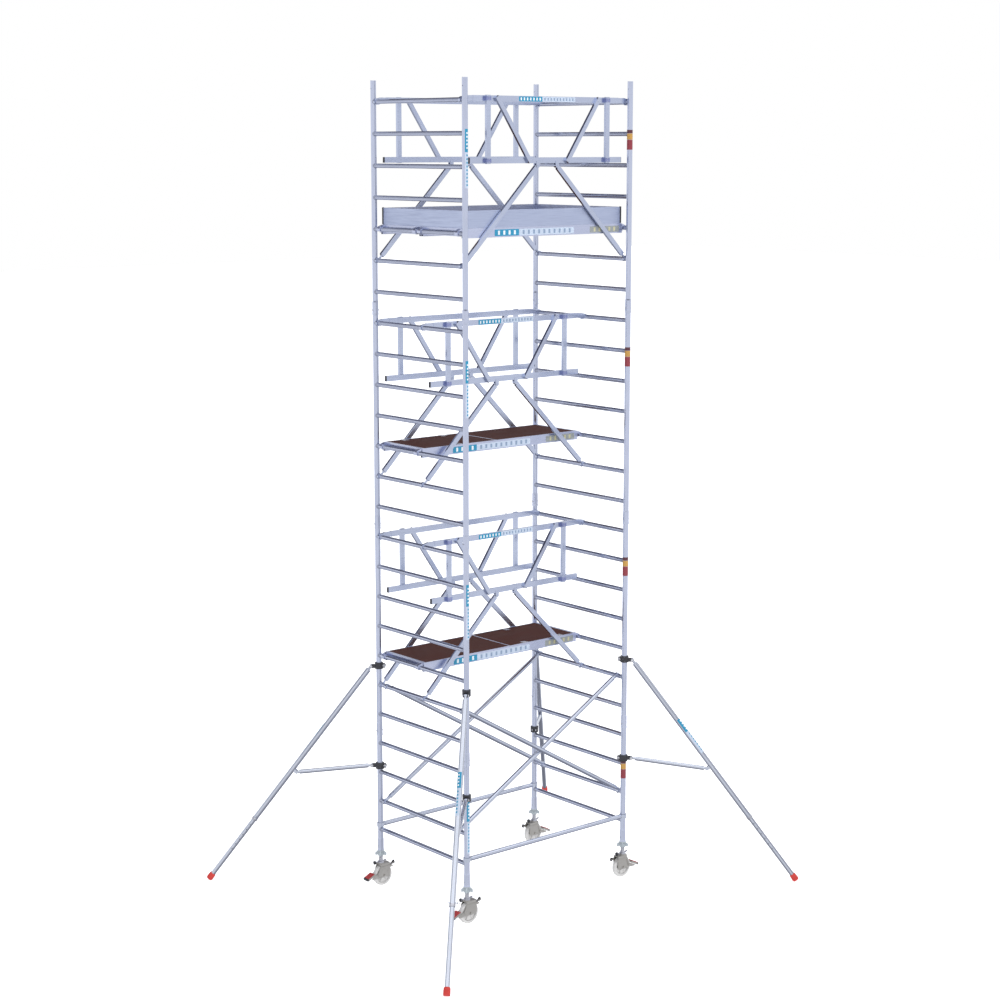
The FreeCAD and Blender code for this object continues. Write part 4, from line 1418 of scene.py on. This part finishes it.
    def labels(self, place: DeckPlace) -> None:
        """Plain name strip on the near beam and a small grey plate at its B end.

        Args:
            place: The platform.
        """
        middle = self.plan.rung(place.level) + self.plan.deck_rise - self.beam_height / 2 - 0.004
        turn = Matrix.Rotation(math.pi / 2, 4, "X")
        strips = (
            (Finish.CYAN, -0.580, -0.303),
            (Finish.PALE, -0.301, 0.340),
            (Finish.GREY_LABEL, 0.532, 0.889),
        )
        for finish, start, stop in strips:
            pattern = flat_label("strip", stop - start, 0.056)
            strip = Bench.copies(pattern, [at((start + stop) / 2, place.near_edge, middle) @ turn])[0]
            strip.name = f"label_{finish.name.lower()}_deck_{place.name}"
            Bench.finish(strip, finish, "tower", "deck_aluminium")
            spots = [at(x, place.near_edge - 0.0004, middle) @ turn for x in dash_row(start, stop, 0.060)]
            dashes = Bench.copies(flat_label("dash", 0.022, 0.036), spots)
            marks = Bench.join(f"marks_{strip.name[6:]}", dashes)
            Bench.finish(marks, self.marks[finish], "tower", "deck_aluminium")

    def toe_clips(self) -> None:
        """Black corner clips that tie the toe boards together."""
        low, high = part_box("toe_boards")
        reach, wall = 0.012, 0.003
        made = []
        for x_sign, x_face in ((-1, low.x), (1, high.x)):
            for y_sign, y_face in ((-1, low.y), (1, high.y)):
                corner = Bench.block(
                    "clip",
                    (-reach, -reach, low.z + 0.004),
                    (wall, wall, high.z + 0.003),
                )
                Bench.shape_faces(
                    corner,
                    lambda centre, normal: normal.x < -0.9 or normal.y < -0.9 or normal.z < -0.9,
                    lambda: bpy.ops.mesh.delete(type="FACE"),
                )
                Bench.modify(corner, "SOLIDIFY", thickness=0.0028, offset=-1.0)
                Bench.soften(corner, 0.0008, 2)
                turn = Matrix.Diagonal((x_sign, y_sign, 1, 1))
                made += Bench.copies(corner, [at(x_face, y_face, 0) @ turn])
        Bench.finish(Bench.join("toe_board_clips", made), Finish.BLACK_PLASTIC, "tower", "clamp_black")

    def build(self) -> None:
        """Dresses the platforms and adds their small parts."""
        for node in ("deck_frame_lower", "deck_frame_middle", "deck_frames_top"):
            dress_node(node, Finish.DECK, 0.0012)
        dress_node("deck_boards", Finish.PLY, 0.0008)
        dress_node("toe_boards", Finish.TOE_BOARD, 0.0016)
        for place in self.places:
            self.board_rivets(place)
            if place.name != "top_far":
                self.labels(place)
            if place.lid:
                dress_node(place.lid, Finish.PLY, 0.0008)
                self.hinges(place)
                self.latch(place)
        self.toe_clips()


# ---- casters ----------------------------------------------------------------------------------
@dataclass
class Casters:
    """Pedal treads, hub caps, cheek ribs and lever sleeves of the four casters."""

    plan: Plan
    trail: float = 0.015
    wheel_radius: float = 0.100

    def placement(self, corner: str) -> Matrix:
        """Placement of a caster's own space: post on the Z axis, wheel trailing towards +X.

        Args:
            corner: The corner.

        Returns:
            The placement.
        """
        end, side = self.plan.corners()[corner]
        turn = Matrix.Identity(4) if end < 0 else Matrix.Rotation(math.pi, 4, "Z")
        return at(end * self.plan.half_span, side * self.plan.half_width, 0) @ turn

    def tread(self, corner: str, place: Matrix) -> None:
        """Ribbed red pad on top of the pedal, and the black bumper at its tip.

        Args:
            corner: The corner.
            place: The caster's placement.
        """
        start, tip = Vector((-0.1010, 0, 0.1335)), Vector((-0.1720, 0, 0.0995))
        run = tip - start
        slope = Matrix.Rotation(math.atan2(-run.z, run.x), 4, "Y")
        seat = Matrix.Translation((start + tip) / 2) @ slope
        half = run.length / 2
        pad = Bench.block("pad", (-half, -0.0345, 0.0), (half, 0.0345, 0.0045))
        Bench.shape_faces(
            pad,
            lambda centre, normal: normal.z < -0.9,
            lambda: bpy.ops.mesh.inset(thickness=0.004, depth=0.0),
        )
        Bench.soften(pad, 0.0018, 3)
        ribs = []
        for index in range(-3, 4):
            rib = Bench.block("rib", (-0.0022, -0.029, 0.0), (0.0022, 0.029, 0.0022))
            Bench.soften(rib, 0.0009, 2)
            ribs += Bench.copies(rib, [at(index * half * 0.25, 0, 0.0042)])
        flip = Matrix.Rotation(math.pi, 4, "Z") if run.x < 0 else Matrix.Identity(4)
        upright = seat @ flip
        if (upright.to_3x3() @ Z_AXIS).z < 0:
            upright = upright @ Matrix.Rotation(math.pi, 4, "X")
        whole = Bench.join(f"pedal_tread_{corner}", [pad] + ribs)
        whole.data.transform(place @ upright)
        Bench.finish(whole, Finish.PEDAL_RED, f"brake_{corner}", "foot_red")
        bumper = Bench.block("bumper", (-0.181, -0.037, 0.080), (-0.168, 0.037, 0.103))
        Bench.soften(bumper, 0.004, 3)
        whole = Bench.join(f"pedal_bumper_{corner}", [bumper])
        whole.data.transform(place)
        Bench.finish(whole, Finish.BLACK_PLASTIC, f"brake_{corner}", "clamp_black")

    def lever_sleeve(self, corner: str, place: Matrix) -> None:
        """Dipped plastic sleeve on the end of the release lever.

        Args:
            corner: The corner.
            place: The caster's placement.
        """
        start, tip = Vector((0.133, 0, 0.190)), Vector((0.156, 0, 0.2005))
        run = tip - start
        sleeve = Bench.block("sleeve", (-0.016, -0.0045, -run.length / 2), (0.016, 0.0045, run.length / 2))
        Bench.shape_faces(
            sleeve,
            lambda centre, normal: normal.z > 0.9,
            lambda: bpy.ops.mesh.inset(thickness=0.0012, depth=0.0015),
        )
        Bench.soften(sleeve, 0.0018, 3)
        turn = Matrix.Rotation(math.pi / 2, 4, "Z")
        sleeve.data.transform(place @ facing(run.normalized(), (start + tip) / 2) @ turn)
        sleeve = Bench.join(f"lever_sleeve_{corner}", [sleeve])
        Bench.finish(sleeve, Finish.BLACK_PLASTIC, f"brake_{corner}", "clamp_black")

    def hub_caps(self, corner: str, place: Matrix) -> None:
        """Bearing cover on each side of the hub.

        Args:
            corner: The corner.
            place: The caster's placement.
        """
        made = []
        for side in (-1, 1):
            start = Vector((self.trail, side * 0.0262, self.wheel_radius))
            cover = Bench.drum("cover", 0.0215, start, start + Y_AXIS * side * 0.0038, 36)
            Bench.shape_faces(
                cover,
                lambda centre, normal, way=side: normal.y * way > 0.9,
                lambda: bpy.ops.mesh.inset(thickness=0.005, depth=-0.001),
            )
            made.append(Bench.soften(cover, 0.0008, 2))
        whole = Bench.join(f"hub_covers_{corner}", made)
        whole.data.transform(place)
        Bench.finish(whole, Finish.ZINC, f"wheel_{corner}", "zinc_steel")

    def cheek_ribs(self, corner: str, place: Matrix) -> None:
        """Pressed stiffening ribs on the outside of the fork's cheeks.

        Args:
            corner: The corner.
            place: The caster's placement.
        """
        made = []
        for side in (-1, 1):
            for x0, z0, x1, z1 in ((-0.030, 0.165, -0.046, 0.132), (0.066, 0.168, 0.066, 0.100)):
                start, end = Vector((x0, side * 0.0350, z0)), Vector((x1, side * 0.0350, z1))
                rib = Bench.drum("rib", 0.0042, start, end, 16)
                Bench.modify(rib, "BEVEL", width=0.0035, segments=3, limit_method="ANGLE", angle_limit=0.6)
                with Bench.editing(rib):
                    bpy.ops.mesh.select_all(action="SELECT")
                    bpy.ops.transform.resize(value=(1, 0.07, 1), center_override=(0, side * 0.0350, 0))
                made.append(rib)
        whole = Bench.join(f"cheek_ribs_{corner}", made)
        whole.data.transform(place)
        Bench.finish(whole, Finish.FORK, f"fork_{corner}", "fork_steel", 60)

    def build(self) -> None:
        """Dresses the casters."""
        for corner in self.plan.corners():
            place = self.placement(corner)
            dress_node(f"caster_spindle_{corner}", Finish.ZINC)
            dress_node(f"adjust_nut_{corner}", Finish.CAST_NUT, 0.0012)
            dress_node(f"caster_fork_{corner}", Finish.FORK, 0.0008)
            dress_node(f"caster_wheel_{corner}", Finish.NYLON, 0.0014)
            dress_node(f"brake_pedal_{corner}", Finish.FORK, 0.0008)
            self.tread(corner, place)
            self.lever_sleeve(corner, place)
            self.hub_caps(corner, place)
            self.cheek_ribs(corner, place)
            self.knob(corner)

    def knob(self, corner: str) -> None:
        """Moulded grip that stands for the spindle's lock knob.

        Args:
            corner: The corner.
        """
        end, side = self.plan.corners()[corner]
        x = end * self.plan.half_span - 0.066
        centre = Vector((x, side * self.plan.half_width, 0.2325))
        grip = Bench.drum("grip", 0.0172, centre, centre - X_AXIS * 0.0132, 32, 1.02)
        Bench.shape_faces(
            grip,
            lambda place, normal: normal.x < -0.9,
            lambda: bpy.ops.mesh.inset(thickness=0.004, depth=0.002),
        )
        Bench.soften(grip, 0.0012, 2)
        scallops = []
        for index in range(8):
            angle = index * math.pi / 4
            offset = Vector((0, math.cos(angle), math.sin(angle))) * 0.0141
            pad = Bench.drum("lobe", 0.0036, centre + offset, centre + offset - X_AXIS * 0.0128, 12)
            scallops.append(Bench.soften(pad, 0.0009, 2))
        whole = Bench.join(f"lock_knob_{corner}", [grip] + scallops)
        Bench.finish(whole, Finish.BLACK_PLASTIC, f"spindle_{corner}", "clamp_black")


# ---- stabilisers ------------------------------------------------------------------------------
@dataclass
class Stabilisers:
    """Clamp bolts, collars, labels and foot ribs of the four stabilisers."""

    plan: Plan
    top: tuple[float, float] = (0.074, 2.126)
    end: tuple[float, float] = (1.651, 0.012)
    joint_radial: float = 1.205
    tube_radius: float = 0.025
    foot_radius: float = 0.030
    clamp_heights: tuple[float, float] = (2.134, 1.171)

    def point(self, radial: float) -> Vector:
        """Point of the tube's axis at a distance from the post, in the stabiliser's own space."""
        share = (radial - self.top[0]) / (self.end[0] - self.top[0])
        return Vector((radial, 0, self.top[1] + share * (self.end[1] - self.top[1])))

    def placement(self, corner: str) -> Matrix:
        """Placement of a stabiliser's own space: post on the Z axis, foot out along +X.

        Args:
            corner: The corner.

        Returns:
            The placement.
        """
        end, side = self.plan.corners()[corner]
        heading = Matrix.Rotation(math.atan2(side, end), 4, "Z")
        return at(end * self.plan.half_span, side * self.plan.half_width, 0) @ heading

    def clamp_bolts(self, corner: str, place: Matrix) -> None:
        """Bright hexagon heads on both sides of each pivot and each clamp lug.

        Args:
            corner: The corner.
            place: The stabiliser's placement.
        """
        spots = []
        for height, pivot_z in ((self.clamp_heights[0], self.top[1]), (self.clamp_heights[1],) * 2):
            for side in (-1, 1):
                turn = Matrix.Rotation(-side * math.pi / 2, 4, "X")
                spots.append(place @ at(self.top[0], side * 0.0212, pivot_z) @ turn)
                spots.append(place @ at(-0.050, side * 0.0132, height) @ turn)
        made = Bench.copies(hex_bolt(0.0098, 0.0065), spots)
        whole = Bench.join(f"clamp_bolts_{corner}", made)
        Bench.finish(whole, Finish.BRIGHT, f"stabiliser_{corner}", "zinc_steel")

    def collar(self, corner: str, place: Matrix) -> None:
        """Moulded guide collar on the mouth of the outer tube.

        Args:
            corner: The corner.
            place: The stabiliser's placement.
        """
        end = self.point(self.joint_radial)
        run = (self.point(1.0) - self.point(0.9)).normalized()
        collar = Bench.drum("collar", 0.0278, end - run * 0.022, end + run * 0.003, 40)
        Bench.shape_faces(
            collar,
            lambda centre, normal: abs(normal.dot(run)) > 0.9,
            lambda: bpy.ops.mesh.delete(type="FACE"),
        )
        Bench.modify(collar, "SOLIDIFY", thickness=0.0026, offset=-1.0)
        Bench.soften(collar, 0.0007, 2)
        collar.data.transform(place)
        collar = Bench.join(f"tube_collar_{corner}", [collar])
        Bench.finish(collar, Finish.ZINC, f"stabiliser_{corner}", "zinc_steel")

    def label(self, corner: str, place: Matrix) -> None:
        """Cyan and pale strip with plain dashes along the upper part of the outer tube.

        Args:
            corner: The corner.
            place: The stabiliser's placement.
        """
        front = Vector((0.4, -0.5, 0.9))
        low, middle, high = self.point(0.500), self.point(0.586), self.point(0.735)
        parts = ((Finish.CYAN, low, middle, Finish.WHITE), (Finish.PALE, middle, high, Finish.CYAN))
        for finish, start, end, ink in parts:
            strip = wrapped_label("strip", self.tube_radius, start, end, front, 60)
            marks = Bench.join("marks", tube_marks(self.tube_radius, start, end, front))
            for piece, colour, kind in ((strip, finish, "label"), (marks, ink, "marks")):
                piece.data.transform(place)
                piece = Bench.join(f"{kind}_{finish.name.lower()}_stabiliser_{corner}", [piece])
                Bench.finish(piece, colour, f"stabiliser_{corner}", "stabiliser_aluminium", 60)

    def foot_ribs(self, corner: str, place: Matrix) -> None:
        """Raised rings round the moulded foot.

        Args:
            corner: The corner.
            place: The stabiliser's placement.
        """
        run = (self.point(1.0) - self.point(0.9)).normalized()
        end = self.point(self.end[0])
        made = []
        for back in (0.016, 0.027, 0.038):
            ring = Bench.ring("rib", self.foot_radius - 0.0004, 0.0022, end - run * back, run, 40)
            with Bench.editing(ring):
                bpy.ops.mesh.select_all(action="SELECT")
                bpy.ops.mesh.bisect(
                    plane_co=(0, 0, 0.0004), plane_no=(0, 0, 1), use_fill=True, clear_inner=True
                )
            made.append(ring)
        whole = Bench.join(f"foot_ribs_{corner}", made)
        whole.data.transform(place)
        Bench.finish(whole, Finish.RED_RUBBER, f"stabiliser_leg_{corner}", "foot_red")

    def pin_ring(self, corner: str, place: Matrix) -> None:
        """Pull ring on the locking pin.

        Args:
            corner: The corner.
            place: The stabiliser's placement.
        """
        run = (self.point(1.0) - self.point(0.9)).normalized()
        centre = self.point(self.joint_radial) - run * 0.032 + Y_AXIS * 0.052
        ring = Bench.ring("pull", 0.012, 0.0016, centre, run, 28)
        ring.data.transform(place)
        ring = Bench.join(f"pin_ring_{corner}", [ring])
        Bench.finish(ring, Finish.BRIGHT, f"stabiliser_{corner}", "zinc_steel", 60)

    def build(self) -> None:
        """Dresses the stabilisers."""
        for corner in self.plan.corners():
            place = self.placement(corner)
            dress_node(f"stabiliser_clamps_{corner}", Finish.CLAMP_BLACK, 0.0015)
            dress_node(f"stabiliser_tube_{corner}", Finish.STABILISER)
            dress_node(f"stabiliser_leg_{corner}", Finish.STABILISER)
            dress_node(f"stabiliser_foot_{corner}", Finish.RED_RUBBER, 0.002)
            self.clamp_bolts(corner, place)
            self.collar(corner, place)
            self.label(corner, place)
            self.foot_ribs(corner, place)
            self.pin_ring(corner, place)


# ---- studio -----------------------------------------------------------------------------------
@dataclass
class Studio:
    """Floor, soft light and camera."""

    floor_half: float = 90.0
    camera_place: tuple[float, float, float] = (-12.186, -14.465, 6.905)
    camera_heading: float = 49.957
    camera_drop: float = 9.707
    lens: float = 74.93
    room_strength: float = 2.0
    near_wall: tuple[tuple[float, float], ...] = (
        (0.0, 0.12),
        (0.11, 0.15),
        (0.19, 0.25),
        (0.31, 0.37),
        (0.40, 0.43),
        (0.59, 0.42),
        (0.65, 0.10),
        (0.74, 0.58),
    )
    far_wall: tuple[tuple[float, float], ...] = (
        (0.0, 0.12),
        (0.17, 0.17),
        (0.23, 0.23),
        (0.31, 0.34),
        (0.40, 0.44),
        (0.60, 0.46),
        (0.70, 0.03),
        (0.86, 0.03),
    )

    def floor(self) -> None:
        """Plain pale floor under the tower."""
        Bench.clear()
        bpy.ops.mesh.primitive_plane_add(size=self.floor_half * 2, location=(0, 0, -0.0005))
        floor = bpy.context.object
        floor.name = "studio_floor"
        floor.data.materials.append(StudioFloor().build())
        floor.visible_glossy = False

    def ramp(self, nodes: bpy.types.Nodes, stops: Sequence[tuple[float, float]]) -> bpy.types.Node:
        """Grey ramp over elevation, from straight down at 0 to straight up at 1.

        Args:
            nodes: The world's nodes.
            stops: Position and brightness of each stop, at most half of full brightness.

        Returns:
            The ramp node.
        """
        ramp = nodes.new("ShaderNodeValToRGB")
        while len(ramp.color_ramp.elements) < len(stops):
            ramp.color_ramp.elements.new(0.5)
        for element, (position, value) in zip(ramp.color_ramp.elements, stops):
            element.position = position
            element.color = (value, value * 1.02, value * 1.04 + 0.02, 1.0)
        return ramp

    def world(self) -> None:
        """White surround for the eye, and for reflections a room whose far ceiling is dark."""
        world = bpy.data.worlds.new("studio")
        world.use_nodes = True
        nodes, links = world.node_tree.nodes, world.node_tree.links
        nodes.clear()
        place = nodes.new("ShaderNodeTexCoord")
        split = nodes.new("ShaderNodeSeparateXYZ")
        links.new(place.outputs["Generated"], split.inputs["Vector"])
        elevation = nodes.new("ShaderNodeMapRange")
        elevation.inputs["From Min"].default_value = -1.0
        links.new(split.outputs["Z"], elevation.inputs["Value"])
        side = nodes.new("ShaderNodeMapRange")
        side.interpolation_type = "SMOOTHSTEP"
        side.inputs["From Min"].default_value = 0.40
        side.inputs["From Max"].default_value = 0.60
        links.new(split.outputs["Y"], side.inputs["Value"])
        walls = nodes.new("ShaderNodeMix")
        walls.data_type = "RGBA"
        links.new(side.outputs["Result"], walls.inputs["Factor"])
        for stops, socket in ((self.near_wall, walls.inputs[6]), (self.far_wall, walls.inputs[7])):
            ramp = self.ramp(nodes, stops)
            links.new(elevation.outputs["Result"], ramp.inputs["Fac"])
            links.new(ramp.outputs["Color"], socket)
        room = nodes.new("ShaderNodeBackground")
        room.inputs["Strength"].default_value = self.room_strength
        links.new(walls.outputs[2], room.inputs["Color"])
        white = nodes.new("ShaderNodeBackground")
        white.inputs["Color"].default_value = (1.0, 1.0, 1.0, 1.0)
        rays = nodes.new("ShaderNodeLightPath")
        blend = nodes.new("ShaderNodeMixShader")
        links.new(rays.outputs["Is Camera Ray"], blend.inputs["Fac"])
        links.new(room.outputs["Background"], blend.inputs[1])
        links.new(white.outputs["Background"], blend.inputs[2])
        output = nodes.new("ShaderNodeOutputWorld")
        links.new(blend.outputs["Shader"], output.inputs["Surface"])
        bpy.context.scene.world = world

    def softbox(self, name: str, place: Sequence[float], size: tuple[float, float], power: float) -> None:
        """Area light that looks at the middle of the tower.

        Args:
            name: Light name.
            place: Where it stands.
            size: Its width and height.
            power: Its power in watts.
        """
        light = bpy.data.lights.new(name, "AREA")
        light.shape = "RECTANGLE"
        light.size, light.size_y = size
        light.energy = power
        lamp = bpy.data.objects.new(name, light)
        lamp.location = place
        aim = Vector((0, 0, 3.6)) - Vector(place)
        lamp.rotation_euler = aim.to_track_quat("-Z", "Y").to_euler()
        lamp.visible_camera = False
        lamp.visible_glossy = False
        bpy.context.scene.collection.objects.link(lamp)

    def camera(self) -> None:
        """Camera a little above the middle of the tower, looking down at it."""
        data = bpy.data.cameras.new("camera")
        data.lens = self.lens
        data.sensor_width = 36.0
        data.clip_end = 300.0
        camera = bpy.data.objects.new("camera", data)
        heading, drop = math.radians(self.camera_heading), math.radians(self.camera_drop)
        level = math.cos(drop)
        forward = Vector((level * math.cos(heading), level * math.sin(heading), -math.sin(drop)))
        camera.location = self.camera_place
        camera.rotation_euler = forward.to_track_quat("-Z", "Y").to_euler()
        bpy.context.scene.collection.objects.link(camera)
        bpy.context.scene.camera = camera

    def build(self) -> None:
        """Sets the stage."""
        self.floor()
        self.world()
        self.softbox("key", (-9.0, -12.0, 11.0), (6.0, 8.0), 520)
        self.softbox("side", (11.0, -8.0, 6.0), (3.0, 9.0), 260)
        self.softbox("top", (0.0, 0.0, 14.0), (9.0, 9.0), 200)
        self.softbox("back", (6.0, 12.0, 8.0), (5.0, 8.0), 260)
        self.camera()
        bpy.context.scene.view_settings.view_transform = "Standard"
        bpy.context.scene.view_settings.look = "None"


def main() -> None:
    """Builds the looks of the tower around its frame."""
    logging.basicConfig(level=logging.INFO, format="%(name)s: %(message)s")
    plan = read_plan()
    LadderFrames(plan).build()
    Guardrails(plan).build()
    dress_node("braces", Finish.BRACE)
    Platforms(plan).build()
    Casters(plan).build()
    Stabilisers(plan).build()
    Studio().build()


if __name__ == "__main__":
    main()
